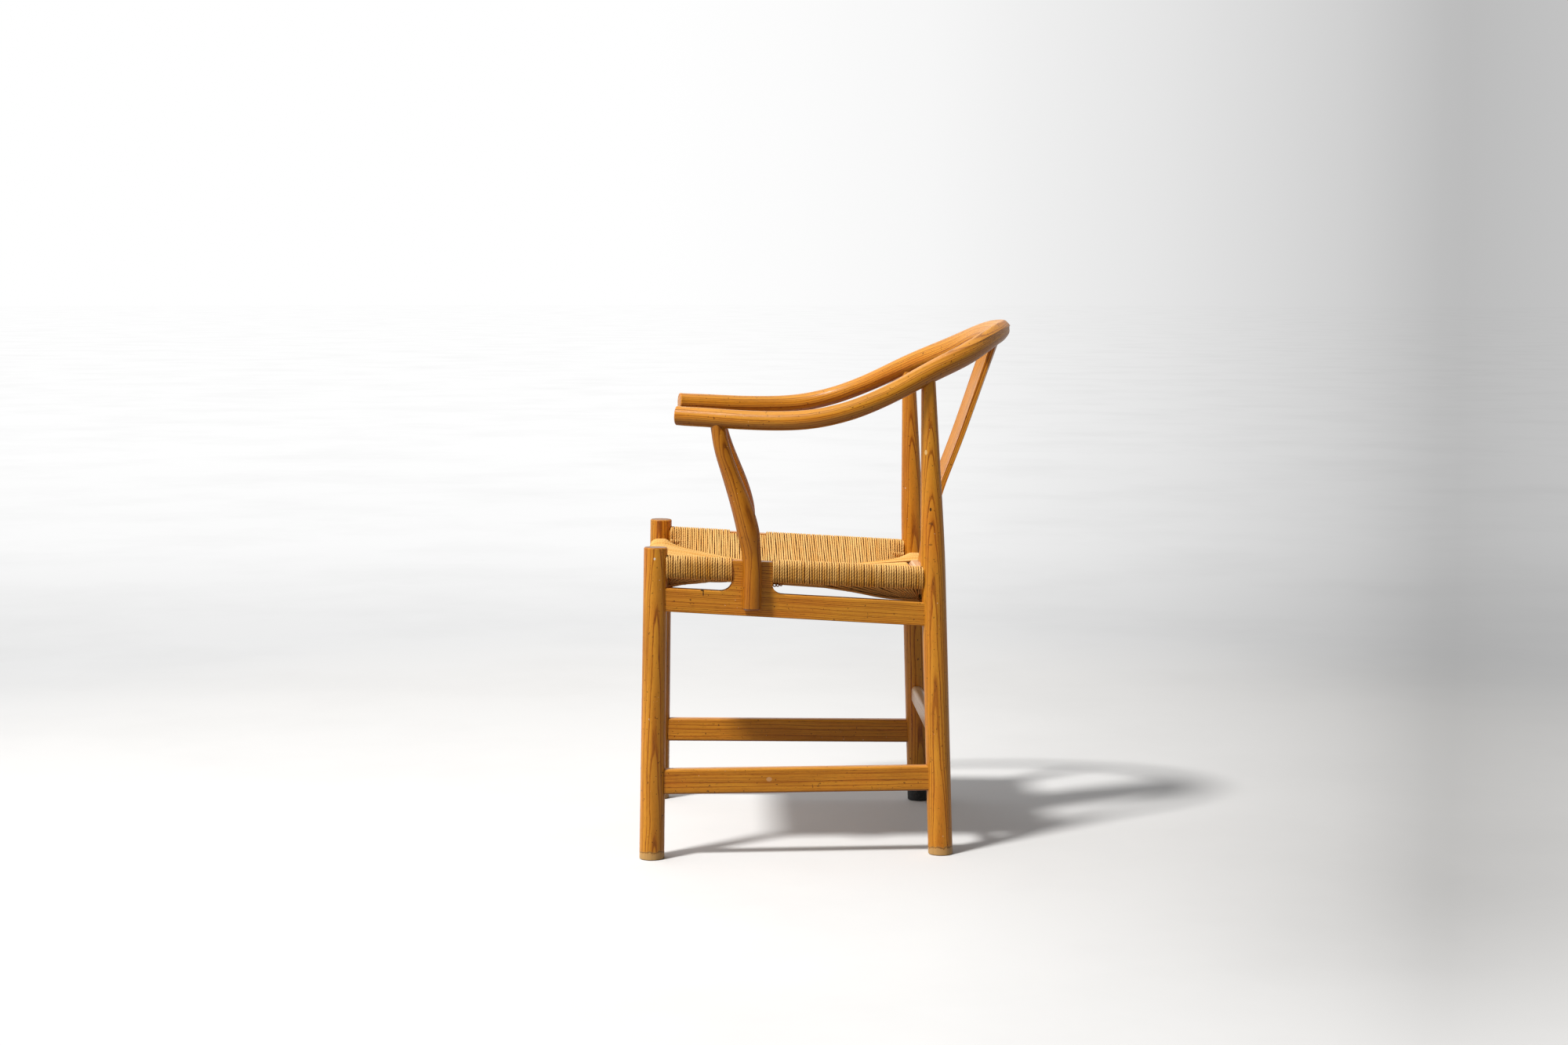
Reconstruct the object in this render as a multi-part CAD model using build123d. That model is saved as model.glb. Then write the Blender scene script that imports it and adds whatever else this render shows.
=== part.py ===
from build123d import *
import os
from math import cos, pi, radians, sin

# Horseshoe back armchair in ash with a woven paper cord seat.
# Millimetres. The chair faces -Y, +X is the sitter's left and +Z is up. The floor is Z = 0.
# Depths are given from the axis of the front feet. The finished pieces are moved to the middle of the chair.

# Joinery
glueGap = 0.1              # between glued faces
tenonEndGap = 0.6          # at the bottom of a mortise
cordGap = 0.3              # between the woven cord and the wood
easedEdge = 1.5            # small rounding of sawn edges

# Front legs: turned, with a slight taper
frontFootX = 239.5
frontTopX = 233.0
frontTopY = 7.4
frontLegHeight = 470.0
frontFootRadius = 18.8
frontTopRadius = 17.6

# Rear legs: turned in one piece from the floor to the top rail
rearFootX = 216.0
rearFootY = 437.0
rearLegRadius = 18.5
rearWaistHeight = 425.0    # the taper starts here
rearShoulderHeight = 562.0
rearShoulderRadius = 15.5
rearNeckRadius = 10.4
legTenonRadius = 6.5
legTenonLength = 14.0

# Top rail: centre line of the left half, from the arm tip to the middle of the back
armTip = (221.0, 38.0, 665.7)
overPost = (235.0, 98.7, 662.2)
armLow = (250.0, 168.0, 659.3)
armWidest = (260.0, 248.0, 663.5)
armRise = (246.0, 335.0, 689.0)
overRearLeg = (203.0, 415.6, 727.5)
backShoulder = (145.0, 482.5, 758.0)
backQuarter = (80.0, 522.7, 780.3)
backMiddle = (0.0, 539.0, 785.8)
armRadius = 14.3
backHalfHeight = 22.0      # the rail broadens towards the middle of the back
backOuterDepth = 16.4
backInnerDepth = 11.5
broadeningStart = 0.45     # along the half rail, 0 at the arm tip and 1 in the middle
backLean = 48.0            # degrees
backFlatness = 0.45        # of the inner face in the middle
railSections = 33
sectionSteps = 8           # points round half a section

# Arm posts: turned and bent
postTopRadius = 11.0
postNeckRadius = 12.2
postBellyRadius = 16.7
postFootRadius = 14.4
postFootZ = 376.5
postStraightZ = 455.0
postBellyZ = 495.0
postBendZ = 562.0
postNeckZ = 608.0
postBellyForward = 5.5     # how far the centre line has moved forward at each height
postBendForward = 25.5
postNeckForward = 41.0
postHeadLean = 0.15        # forward for each millimetre up, at the top
postForward = -2.4         # axis of the post from the middle of the block
postFlatDepth = 4.4        # flat that seats on the side frame
postFootChamfer = 3.0
postTenonRadius = 6.0
postTenonLength = 13.0
postTenonAim = 0.95        # along the post, where the line of the tenon starts
postSections = 17

# Side frames: one board with two slots, so that its upper bar can be wrapped
seatCrestFront = 459.5     # top of the wrapped side bar, at the axis of the front leg
seatSlope = 0.0528         # fall for each millimetre towards the back
sideBoardThickness = 22.0
upperBarHeight = 28.0
upperBarRounding = 8.0
lowerBarTop = 410.0
lowerBarHeight = 35.0
lowerBarSlope = 0.0658
blockMiddle = 144.5        # along the board, from the axis of the front leg
blockLength = 59.0
slotCornerRadius = 17.0

# Front and rear seat rails
crossRailDrop = 19.5       # crest of the cross rails below the side bars
crossRailSize = 28.0
crossRailRounding = 9.0
splatSeatMargin = 8.0      # bare wood beside the splat

# Woven cord
cordDiameter = 3.6
stripHalfWidth = 36.0      # half width of the strip between the corner seams
dishDrop = 38.0            # seat surface in the middle, below the side bars' crest
padThickness = 14.0
padCornerRun = 32.0        # from a corner to where the cord runs off the top of the bars
padCornerDrop = 32.0       # upper side of the cord below the side bars' crest: in the corners,
padSideDrop = 5.0          # beside the side bars,
padCrossDrop = 24.0        # and beside the front and rear rails
padCornerDepth = 50.0      # lower side of the cord at the same places
padSideDepth = 38.0
padCrossDepth = 52.0

# Stretchers
sideStretcherBottom = 98.0
sideStretcherHeight = 38.0
rearStretcherBottom = 165.5
rearStretcherHeight = 28.5
stretcherThickness = 18.0
stretcherRounding = 4.0
rearStretcherRounding = 7.0

# Mortises and tenons at the legs
tenonDepth = 24.0          # from the surface of the leg
tenonThickness = 9.0
tenonShoulder = 5.0        # at the top and the bottom of a tenon

# Splat: bent board. Places of its middle plane from the seat rail to the top rail, as depth and height
splatWidth = 130.0
splatThickness = 8.0
splatLower = (430.5, 455.0)
splatMiddle = (443.0, 526.0)
splatUpper = (469.0, 599.0)
splatBelowRail = (507.0, 708.0)
splatHeadForward = 8.0     # from the middle of the rail
splatHeadBelow = 7.4
splatTenonDepth = 16.0     # into the seat rail
splatHollowFoot = 0.6      # hollow across its width
splatHollowHead = 8.0
splatSections = 11

# Small parts
tackRadius = 0.9
tackLength = 14.0
tackHeadRadius = 2.4
tackHeadThickness = 1.2
tackPitch = 8.0
tackRise = 24.0            # above the lower edge of the block
rearTackRise = 2.5         # above the lower edge of the rear rail
tackStandOff = 4.0
dowelRadius = 4.0
dowelDepth = 12.0
dowelSpacing = 42.0
capHeight = 22.0
capFloor = 3.0
capWall = 2.2

frontLegFoot = Vector(frontFootX, 0, 0)
frontLegTop = Vector(frontTopX, frontTopY, frontLegHeight)
rearLegFoot = Vector(rearFootX, rearFootY, 0)
rearLegTop = Vector(*overRearLeg)
upAxis = Vector(0, 0, 1)
farOut = 1000.0            # larger than the chair, for cutting blocks


def crestZ(y):
    return seatCrestFront - seatSlope * y


def alongLine(start, end, z):
    return start + (end - start) * ((z - start.Z) / (end.Z - start.Z))


def onFrontLeg(z):
    return alongLine(frontLegFoot, frontLegTop, z)


def onRearLeg(z):
    return alongLine(rearLegFoot, rearLegTop, z)


def mirrored(shape):
    return mirror(shape, about=Plane.YZ)


def turned(foot, top, outline):
    """Solid turned about the line from foot to top. The outline lists (height, radius) up to the end."""
    (lowHeight, lowRadius), second, *rest = outline
    side = Line((lowRadius, lowHeight), (second[1], second[0]))
    if rest:
        curve = [(radius, height) for height, radius in (second, *rest)]
        side += Spline(*curve, tangents=[(0, 1), (curve[-1][0] - curve[-2][0], curve[-1][1] - curve[-2][1])])
    endHeight, endRadius = outline[-1]
    edges = side + Line((endRadius, endHeight), (0, endHeight)) + Line((0, endHeight), (0, lowHeight))
    edges += Line((0, lowHeight), (lowRadius, lowHeight))
    solid = revolve(Plane.XZ * make_face(edges), Axis.Z)
    return Plane(origin=foot, x_dir=(0, 1, 0), z_dir=top - foot) * solid


def frontLegBlank(extra=0.0):
    length = (frontLegTop - frontLegFoot).length
    return turned(frontLegFoot, frontLegTop, [(-easedEdge, frontFootRadius + extra), (length, frontTopRadius + extra)])


def rearLegBlank(extra=0.0):
    length = (rearLegTop - rearLegFoot).length
    outline = [
        (-easedEdge, rearLegRadius + extra),
        (rearWaistHeight, rearLegRadius + extra),
        (rearShoulderHeight, rearShoulderRadius + extra),
        (length, rearNeckRadius + extra),
    ]
    return turned(rearLegFoot, rearLegTop, outline)


def standOnFloor(shape, z=0.0):
    return shape - Pos(0, 0, z - farOut / 2) * Box(2 * farOut, 2 * farOut, farOut)


def boxBetween(plane, low, high):
    """Box in a plane's own coordinates, from one corner to the opposite one."""
    size = [b - a for a, b in zip(low, high)]
    middle = [(a + b) / 2 for a, b in zip(low, high)]
    return plane * (Pos(*middle) * Box(*size))


def sidePlane(z):
    """Upright plane through the axes of the left legs at height z: x runs back, y runs up, z points outwards."""
    front, rear = onFrontLeg(z), onRearLeg(z)
    run = Vector(rear.X - front.X, rear.Y - front.Y, 0)
    return Plane(origin=(front.X, front.Y, 0), x_dir=run, z_dir=run.cross(upAxis))


def sideLength(z):
    front, rear = onFrontLeg(z), onRearLeg(z)
    return Vector(rear.X - front.X, rear.Y - front.Y, 0).length


def bar(plane, length, startZ, endZ, height, thickness, rounding):
    """Straight bar from x = 0 to x = length of a plane, with its middle at startZ and endZ."""
    start = plane.from_local_coords(Vector(0, startZ, 0))
    end = plane.from_local_coords(Vector(length, endZ, 0))
    across = Plane(origin=start, x_dir=plane.z_dir, z_dir=end - start)
    return extrude(across * RectangleRounded(thickness, height, rounding), (end - start).length)


def tenon(plane, surface, inward, z, height, extra=0.0):
    """Tenon whose root is at the surface of a leg. inward is -1 at the front end and 1 at the rear end."""
    root = surface - inward * 2 * tenonShoulder
    tip = surface + inward * (tenonDepth + (tenonEndGap if extra else 0))
    half = height / 2 - tenonShoulder + extra
    low = (min(root, tip), z - half, -tenonThickness / 2 - extra)
    high = (max(root, tip), z + half, tenonThickness / 2 + extra)
    return boxBetween(plane, low, high)


seatPlane = sidePlane(seatCrestFront)
seatLength = sideLength(seatCrestFront)
boardFace = sideBoardThickness / 2


def smooth(x):
    x = max(0.0, min(1.0, x))
    return x * x * (3 - 2 * x)


def between(value, stations):
    """Smooth value between (place, value) stations."""
    for (low, a), (high, b) in zip(stations, stations[1:]):
        if value <= high:
            return a + (b - a) * smooth((value - low) / (high - low))
    return stations[-1][1]


# Top rail

def railLine():
    left = [armTip, overPost, armLow, armWidest, armRise, overRearLeg, backShoulder, backQuarter, backMiddle]
    right = [(-x, y, z) for x, y, z in left[-2::-1]]
    return Spline(*left, *right)


def railSection(line, place, extra):
    """Round at the arms, and a leaning D with a flatter inner face in the middle of the back."""
    centre = line @ place
    along = (line % place).normalized()
    share = smooth((1 - abs(2 * place - 1) - broadeningStart) / (1 - broadeningStart))
    outwards = Vector(along.Y, -along.X, 0).normalized()
    lean = radians(backLean) * share
    up = upAxis * cos(lean) + outwards * sin(lean)
    up = (up - along * up.dot(along)).normalized()
    outwards = along.cross(up)
    halfHeight = armRadius + (backHalfHeight - armRadius) * share + extra
    outer = armRadius + (backOuterDepth - armRadius) * share + extra
    inner = armRadius + (backInnerDepth - armRadius) * share + extra

    def halfWay(depth, flatness, rise):
        points = []
        for step in range(sectionSteps + 1):
            turn = pi * step / sectionSteps
            reach = depth * max(0.0, sin(turn)) ** flatness
            points.append(centre + outwards * reach - up * (rise * halfHeight * cos(turn)))
        return Spline(*points, tangents=[outwards * depth, outwards * -depth])

    return Wire([halfWay(outer, 1, 1), halfWay(-inner, 1 - backFlatness * share, -1)])


def railBlank(extra=0.0):
    """The ends are cut flat and eased."""
    line = railLine()
    ease = easedEdge / line.length
    places = [ease + (1 - 2 * ease) * step / (railSections - 1) for step in range(railSections)]
    rail = Solid.make_loft([railSection(line, place, extra) for place in places])
    for end, place in ((0, places[0]), (1, places[-1])):
        rings = [railSection(line, end, extra - easedEdge), railSection(line, place, extra)]
        rail += Solid.make_loft(rings, ruled=True)
    return rail


def legTenon(extra=0.0):
    return roundTenon(rearLegTop, rearLegFoot, legTenonRadius, legTenonLength, extra)


def roundTenon(head, below, radius, reach, extra=0.0):
    """Round tenon aimed at the rail's centre line. It reaches a given length past the rail's underside."""
    aim = (head - below).normalized()
    start = head - aim * (armRadius + 2 * tenonShoulder)
    length = 2 * tenonShoulder + reach + (tenonEndGap if extra else 0)
    return Plane(origin=start, z_dir=aim) * extrude(Circle(radius + extra), length)


# Side frames: lower bar, block and upper bar are one board

def lowerTop(along):
    return lowerBarTop - lowerBarSlope * along


def lowerMiddle(along):
    return lowerTop(along) - lowerBarHeight / 2


def blockBottom(along):
    return lowerTop(along) - lowerBarHeight


def upperMiddle(along):
    return crestZ(along) - cordDiameter - upperBarHeight / 2


def blockTop(along):
    return upperMiddle(along) + upperBarHeight / 2


blockStart = blockMiddle - blockLength / 2
blockEnd = blockMiddle + blockLength / 2


def upperBar(extra=0.0):
    height, thickness = upperBarHeight + 2 * extra, sideBoardThickness + 2 * extra
    ends = upperMiddle(0), upperMiddle(seatLength)
    return bar(seatPlane, seatLength, *ends, height, thickness, upperBarRounding + extra)


def lowerBar(extra=0.0):
    height, thickness = lowerBarHeight + 2 * extra, sideBoardThickness + 2 * extra
    ends = lowerMiddle(0), lowerMiddle(seatLength)
    return bar(seatPlane, seatLength, *ends, height, thickness, easedEdge + extra)


def blockWithSlotCorners():
    """The block and the rounded corners where it grows out of the lower bar."""
    run = slotCornerRadius + easedEdge
    start, end = blockStart - run, blockEnd + run
    corners = [
        (start, lowerMiddle(start)),
        (end, lowerMiddle(end)),
        (end, lowerTop(end)),
        (blockEnd, lowerTop(blockEnd)),
        (blockEnd, blockTop(blockEnd)),
        (blockStart, blockTop(blockStart)),
        (blockStart, lowerTop(blockStart)),
        (start, lowerTop(start)),
    ]
    outline = make_face(Polyline(*corners, close=True))
    inner = [outline.vertices().sort_by_distance(corners[index])[0] for index in (3, 6)]
    outline = fillet(inner, slotCornerRadius)
    return extrude(seatPlane * outline, boardFace, both=True)


def frameTenons(extra=0.0):
    """Four tenons of a side frame: two bars, two ends."""
    tenons = []
    for middle, height in ((upperMiddle, upperBarHeight), (lowerMiddle, lowerBarHeight)):
        rear = seatLength - rearLegRadius
        tenons.append(tenon(seatPlane, frontTopRadius, -1, middle(frontTopRadius), height, extra))
        tenons.append(tenon(seatPlane, rear, 1, middle(rear), height, extra))
    return tenons


def sideTacks(extra=0.0):
    """Cord tacks in the inner face of the block, with their heads standing off the wood."""
    count = int(blockLength / tackPitch)
    tacks = []
    for step in range(count):
        along = blockMiddle + (step - (count - 1) / 2) * tackPitch
        spot = seatPlane.from_local_coords(Vector(along, blockBottom(along) + tackRise, -boardFace))
        tacks.append(tack(spot, seatPlane.z_dir, extra))
    return tacks


def tack(spot, into, extra=0.0):
    plane = Plane(origin=spot - into * tackStandOff, z_dir=into)
    shank = plane * extrude(Circle(tackRadius + extra), tackLength + extra)
    return shank + plane * extrude(Circle(tackHeadRadius + extra), -tackHeadThickness)


def sideFrame():
    frame = lowerBar() + blockWithSlotCorners() + upperBar()
    frame = frame - frontLegBlank(glueGap) - rearLegBlank(glueGap)
    frame = frame.solids().sort_by(SortBy.VOLUME)[-1]
    for piece in frameTenons():
        frame += piece
    for hole in (*postDowels(glueGap / 2), *sideTacks(glueGap / 2)):
        frame -= hole
    return frame


# Arm posts

postAlong = blockMiddle + postForward
postSeat = seatPlane.from_local_coords(Vector(postAlong, postFootZ, boardFace))
postFoot = postSeat + seatPlane.z_dir * (postFootRadius - postFlatDepth)
postHead = Vector(*overPost)


def postLine():
    def at(z, forward):
        share = (z - postFootZ) / (postHead.Z - postFootZ)
        return (postFoot.X + (postHead.X - postFoot.X) * share, postFoot.Y - forward, z)

    bends = [(postFootZ, 0), (postStraightZ, 0), (postBellyZ, postBellyForward), (postBendZ, postBendForward)]
    bends.append((postNeckZ, postNeckForward))
    return Spline(*[at(z, forward) for z, forward in bends], postHead, tangents=[(0, 0, 1), (0, -postHeadLean, 1)])


def postBlank():
    line = postLine()
    radii = [
        (postFootZ, postFootRadius),
        (postStraightZ, postFootRadius),
        (postBellyZ, postBellyRadius),
        (postNeckZ, postNeckRadius),
        (postHead.Z, postTopRadius),
    ]
    sections = []
    for step in range(postSections):
        place = step / (postSections - 1)
        centre = line @ place
        sections.append(Plane(origin=centre, x_dir=(1, 0, 0), z_dir=line % place) * Circle(between(centre.Z, radii)))
    return loft(sections)


def postTenon(extra=0.0):
    return roundTenon(postHead, postLine() @ postTenonAim, postTenonRadius, postTenonLength, extra)


def postDowels(extra=0.0):
    """Two dowels that pin the post to the block."""
    middle = (blockBottom(postAlong) + blockTop(postAlong)) / 2
    length = 2 * dowelDepth + (2 * tenonEndGap if extra else 0)
    dowels = []
    for side in (-1, 1):
        spot = Pos(postAlong, middle + side * dowelSpacing / 2, boardFace)
        dowels.append(seatPlane * (spot * Cylinder(dowelRadius + extra, length)))
    return dowels


def armPost(railEnvelope):
    post = postBlank()
    post = chamfer(post.edges().sort_by(Axis.Z)[0], postFootChamfer)
    top = blockTop(postAlong - postFootRadius) + glueGap
    inside = boardFace + glueGap
    post -= boxBetween(seatPlane, (0, 0, inside - farOut / 4), (seatLength, top, inside))
    post -= railEnvelope
    post = post.solids().sort_by(SortBy.VOLUME)[-1] + postTenon()
    for hole in postDowels(glueGap / 2):
        post -= hole
    return post


# Front and rear seat rails

def crossPlane(point):
    """Upright plane between a pair of legs: x runs to the sitter's left, y runs up and z points to the front."""
    return Plane(origin=(-point.X, point.Y, 0), x_dir=(1, 0, 0), z_dir=(0, -1, 0))


def crossRailZ(legPoint):
    return crestZ(legPoint(seatCrestFront).Y) - crossRailDrop - cordDiameter - crossRailSize / 2


frontRailZ = crossRailZ(onFrontLeg)
rearRailZ = crossRailZ(onRearLeg)
frontRailPoint = onFrontLeg(frontRailZ)
rearRailPoint = onRearLeg(rearRailZ)
splatSeatHalf = splatWidth / 2 + splatSeatMargin


def crossBar(point, z, extra=0.0):
    size = crossRailSize + 2 * extra
    return bar(crossPlane(point), 2 * point.X, z, z, size, size, crossRailRounding + extra)


def splatSeat(extra=0.0):
    """Bare wood in the middle of the rear rail, level with the cord beside it."""
    size = crossRailSize + 2 * cordDiameter + 2 * extra
    half = splatSeatHalf + extra
    block = bar(crossPlane(rearRailPoint), 2 * half, rearRailZ, rearRailZ, size, size, crossRailRounding + extra)
    return Pos(rearRailPoint.X - half, 0, 0) * block


def crossTenons(point, z, height, radius, extra=0.0):
    plane = crossPlane(point)
    ends = ((radius, -1), (2 * point.X - radius, 1))
    return [tenon(plane, surface, inward, z, height, extra) for surface, inward in ends]


def betweenLegs(piece, blank, tenons):
    """Cut a bar to the round legs at both ends and add its tenons."""
    piece = piece - blank - mirrored(blank)
    piece = piece.solids().sort_by(SortBy.VOLUME)[-1]
    for end in tenons:
        piece += end
    return piece


def frontRailTenons(extra=0.0):
    return crossTenons(frontRailPoint, frontRailZ, crossRailSize, frontTopRadius, extra)


def rearRailTenons(extra=0.0):
    return crossTenons(rearRailPoint, rearRailZ, crossRailSize, rearLegRadius, extra)


def rearTacks(extra=0.0):
    """Cord tacks in the front face of the rear rail, where the splat stops the cord going round it."""
    count = int(2 * splatSeatHalf / tackPitch)
    face = rearRailPoint.Y - crossRailSize / 2 - cordDiameter
    height = rearRailZ - crossRailSize / 2 + rearTackRise
    spots = [Vector((step - (count - 1) / 2) * tackPitch, face, height) for step in range(count)]
    return [tack(spot, Vector(0, 1, 0), extra) for spot in spots]


def frontRail():
    return betweenLegs(crossBar(frontRailPoint, frontRailZ), frontLegBlank(glueGap), frontRailTenons())


def rearRail():
    rail = crossBar(rearRailPoint, rearRailZ) + splatSeat()
    rail = betweenLegs(rail, rearLegBlank(glueGap), rearRailTenons()) - splat(glueGap)
    for hole in rearTacks(glueGap / 2):
        rail -= hole
    return rail


# Stretchers

stretcherZ = sideStretcherBottom + sideStretcherHeight / 2
stretcherPlane = sidePlane(stretcherZ)
stretcherLength = sideLength(stretcherZ)
rearStretcherZ = rearStretcherBottom + rearStretcherHeight / 2
rearStretcherPoint = onRearLeg(rearStretcherZ)


def lowFrontRadius():
    share = stretcherZ / frontLegHeight
    return frontFootRadius + (frontTopRadius - frontFootRadius) * share


def stretcherTenons(extra=0.0):
    rear = stretcherLength - rearLegRadius
    ends = ((lowFrontRadius(), -1), (rear, 1))
    size = sideStretcherHeight
    return [tenon(stretcherPlane, surface, inward, stretcherZ, size, extra) for surface, inward in ends]


def sideStretcher():
    size = sideStretcherHeight, stretcherThickness, stretcherRounding
    piece = bar(stretcherPlane, stretcherLength, stretcherZ, stretcherZ, *size)
    piece = piece - frontLegBlank(glueGap) - rearLegBlank(glueGap)
    piece = piece.solids().sort_by(SortBy.VOLUME)[-1]
    for end in stretcherTenons():
        piece += end
    return piece


def rearStretcherTenons(extra=0.0):
    return crossTenons(rearStretcherPoint, rearStretcherZ, rearStretcherHeight, rearLegRadius, extra)


def rearStretcher():
    plane = crossPlane(rearStretcherPoint)
    size = rearStretcherHeight, stretcherThickness, rearStretcherRounding
    piece = bar(plane, 2 * rearStretcherPoint.X, rearStretcherZ, rearStretcherZ, *size)
    return betweenLegs(piece, rearLegBlank(glueGap), rearStretcherTenons())


# Splat

def splat(extra=0.0):
    foot = (rearRailPoint.Y, rearRailZ + crossRailSize / 2 + cordDiameter - splatTenonDepth)
    head = (backMiddle[1] - splatHeadForward, backMiddle[2] - splatHeadBelow)
    line = Spline(foot, splatLower, splatMiddle, splatUpper, splatBelowRail, head)
    faces = []
    for step in range(splatSections):
        share = step / (splatSections - 1)
        place = line @ share
        along = (line % share).normalized()
        reach = along * extra * (2 * share - 1)
        hollow = splatHollowFoot + (splatHollowHead - splatHollowFoot) * share
        faces.append(splatSection(place + reach, Vector(along.Y, -along.X), hollow, extra))
    return loft(faces)


def splatSection(place, normal, hollow, extra):
    """Cross section of the splat: a strip that is hollow towards the sitter."""
    half, thick = splatWidth / 2 + extra, splatThickness / 2 + extra

    def at(x, out):
        return Vector(x, place.X + normal.X * out, place.Y + normal.Y * out)

    front = ThreePointArc(at(-half, -thick), at(0, hollow - thick), at(half, -thick))
    rear = ThreePointArc(at(half, thick), at(0, hollow + thick), at(-half, thick))
    sides = Line(at(half, -thick), at(half, thick)) + Line(at(-half, thick), at(-half, -thick))
    return make_face(front + rear + sides)


# Woven seat: sleeves of cord round the bars, joined by a dished pad

def seatPad():
    """Cord between the bars. It hangs from their tops, and four seams run from the corners to the middle strip."""
    inner = seatPlane.from_local_coords(Vector(0, 0, -boardFace - cordGap))
    frontY = frontRailPoint.Y + crossRailSize / 2 + cordGap
    rearY = rearRailPoint.Y - crossRailSize / 2 - cordGap
    middleY = (frontY + rearY) / 2

    def spot(y, drop, inwards=0.0):
        x = inner.X + (y - inner.Y) * seatPlane.x_dir.X / seatPlane.x_dir.Y - inwards
        return (x, y, crestZ(y) - drop)

    def layer(corner, side, cross, middle):
        edge = [
            spot(frontY, cross, padCornerRun),
            spot(frontY, corner),
            spot(frontY + padCornerRun, side),
            spot(rearY - padCornerRun, side),
            spot(rearY, corner),
            spot(rearY, cross, padCornerRun),
        ]
        seam = (stripHalfWidth, middleY, crestZ(middleY) - middle)
        faces = [[a, b, seam] for a, b in zip(edge, edge[1:])]
        faces += [[(-x, y, z) for x, y, z in face] for face in faces]
        for end in (edge[0], edge[-1]):
            faces.append([end, seam, (-seam[0], *seam[1:]), (-end[0], *end[1:])])
        return faces, edge + [(-x, y, z) for x, y, z in edge[::-1]]

    top, topRing = layer(padCornerDrop, padSideDrop, padCrossDrop, dishDrop)
    bottom, bottomRing = layer(padCornerDepth, padSideDepth, padCrossDepth, dishDrop + padThickness)
    count = len(topRing)
    sides = []
    for step in range(count):
        following = (step + 1) % count
        sides.append([topRing[step], topRing[following], bottomRing[following]])
        sides.append([topRing[step], bottomRing[following], bottomRing[step]])
    polygons = top + bottom + sides
    return Solid(Shell([Face(Wire(Polyline(*points, close=True).edges())) for points in polygons]))


def blockRoom():
    """Space of the block and everything outside it, where no cord runs."""
    low = (blockStart - cordGap, 0, -boardFace - cordGap)
    return boxBetween(seatPlane, low, (blockEnd + cordGap, seatCrestFront + farOut / 4, farOut / 4))


def wovenSeat():
    sleeves = upperBar(cordDiameter) - blockRoom()
    sleeves = sleeves - frontLegBlank(cordGap) - rearLegBlank(cordGap)
    seat = seatPad() + sleeves + mirrored(sleeves)
    seat += crossBar(frontRailPoint, frontRailZ, cordDiameter)
    seat += crossBar(rearRailPoint, rearRailZ, cordDiameter)
    for blank in (upperBar(cordGap), lowerBar(cordGap), frontLegBlank(cordGap), rearLegBlank(cordGap), blockRoom()):
        seat = seat - blank - mirrored(blank)
    for blank in (crossBar(frontRailPoint, frontRailZ, cordGap), crossBar(rearRailPoint, rearRailZ, cordGap)):
        seat -= blank
    seat -= splatSeat(cordGap)
    for nail in rearTacks(cordGap):
        seat -= nail
    return seat.solids().sort_by(SortBy.VOLUME)[-1]


# Legs with their mortises

def easedFoot(leg):
    return chamfer(leg.edges().sort_by(Axis.Z)[0], easedEdge)


def frontLeg():
    leg = easedFoot(standOnFloor(frontLegBlank()))
    leg = chamfer(leg.edges().sort_by(Axis.Z)[-1], easedEdge)
    for hole in (*frameTenons(glueGap)[::2], stretcherTenons(glueGap)[0], frontRailTenons(glueGap)[1]):
        leg -= hole
    return leg


def rearLeg(railEnvelope, blank):
    leg = blank - railEnvelope
    leg = leg.solids().sort_by(SortBy.VOLUME)[-1] + legTenon()
    holes = (*frameTenons(glueGap)[1::2], stretcherTenons(glueGap)[1], rearRailTenons(glueGap)[1])
    for hole in (*holes, rearStretcherTenons(glueGap)[1]):
        leg -= hole
    return leg


def footPlug(bottom, extra=0.0):
    """The turned-down end of the right rear leg, made on the left side."""
    radius = rearLegRadius - capWall + extra
    plug = turned(rearLegFoot, rearLegTop, [(-easedEdge, radius), (capHeight + easedEdge, radius)])
    return standOnFloor(plug, bottom)


def cappedLegBlank():
    return standOnFloor(rearLegBlank(), capHeight + glueGap) + footPlug(capFloor + glueGap)


def footCap():
    foot = easedFoot(standOnFloor(rearLegBlank()))
    foot -= Pos(0, 0, capHeight + farOut / 2) * Box(2 * farOut, 2 * farOut, farOut)
    return foot - footPlug(capFloor, glueGap)


def topRail():
    rail = railBlank()
    for hole in (postTenon(glueGap), legTenon(glueGap)):
        rail = rail - hole - mirrored(hole)
    return rail - splat(glueGap)


def bothSides(shapes):
    return [*shapes, *[mirrored(shape) for shape in shapes]]


def together(*shapes):
    """Equal small parts as one piece."""
    return Compound([solid for shape in shapes for solid in shape.solids()])


railEnvelope = railBlank(glueGap)

pieces = {
    "left_front_leg": frontLeg(),
    "left_rear_leg": rearLeg(railEnvelope, easedFoot(standOnFloor(rearLegBlank()))),
    "right_rear_leg": mirrored(rearLeg(railEnvelope, cappedLegBlank())),
    "right_rear_foot_cap": mirrored(footCap()),
    "left_side_frame": sideFrame(),
    "left_side_stretcher": sideStretcher(),
    "left_arm_post": armPost(railEnvelope),
    "front_seat_rail": frontRail(),
    "rear_seat_rail": rearRail(),
    "rear_stretcher": rearStretcher(),
    "top_rail": topRail(),
    "back_splat": splat(),
    "woven_seat": wovenSeat(),
}
for name in ("front_leg", "side_frame", "side_stretcher", "arm_post"):
    pieces["right_" + name] = mirrored(pieces["left_" + name])

pieces["cord_tacks"] = together(*bothSides(sideTacks()), *rearTacks())
pieces["arm_post_dowels"] = together(*bothSides(postDowels()))

frontMost = pieces["left_front_leg"].bounding_box().min.Y
rearMost = pieces["top_rail"].bounding_box().max.Y
toMiddle = Pos(0, -(frontMost + rearMost) / 2, 0)

os.makedirs("parts", exist_ok=True)
for name, piece in pieces.items():
    export_step(toMiddle * piece, f"parts/{name}.step")
    print(name, len(piece.solids()), round(piece.volume))
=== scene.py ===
import math
import random
from functools import partial

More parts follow.
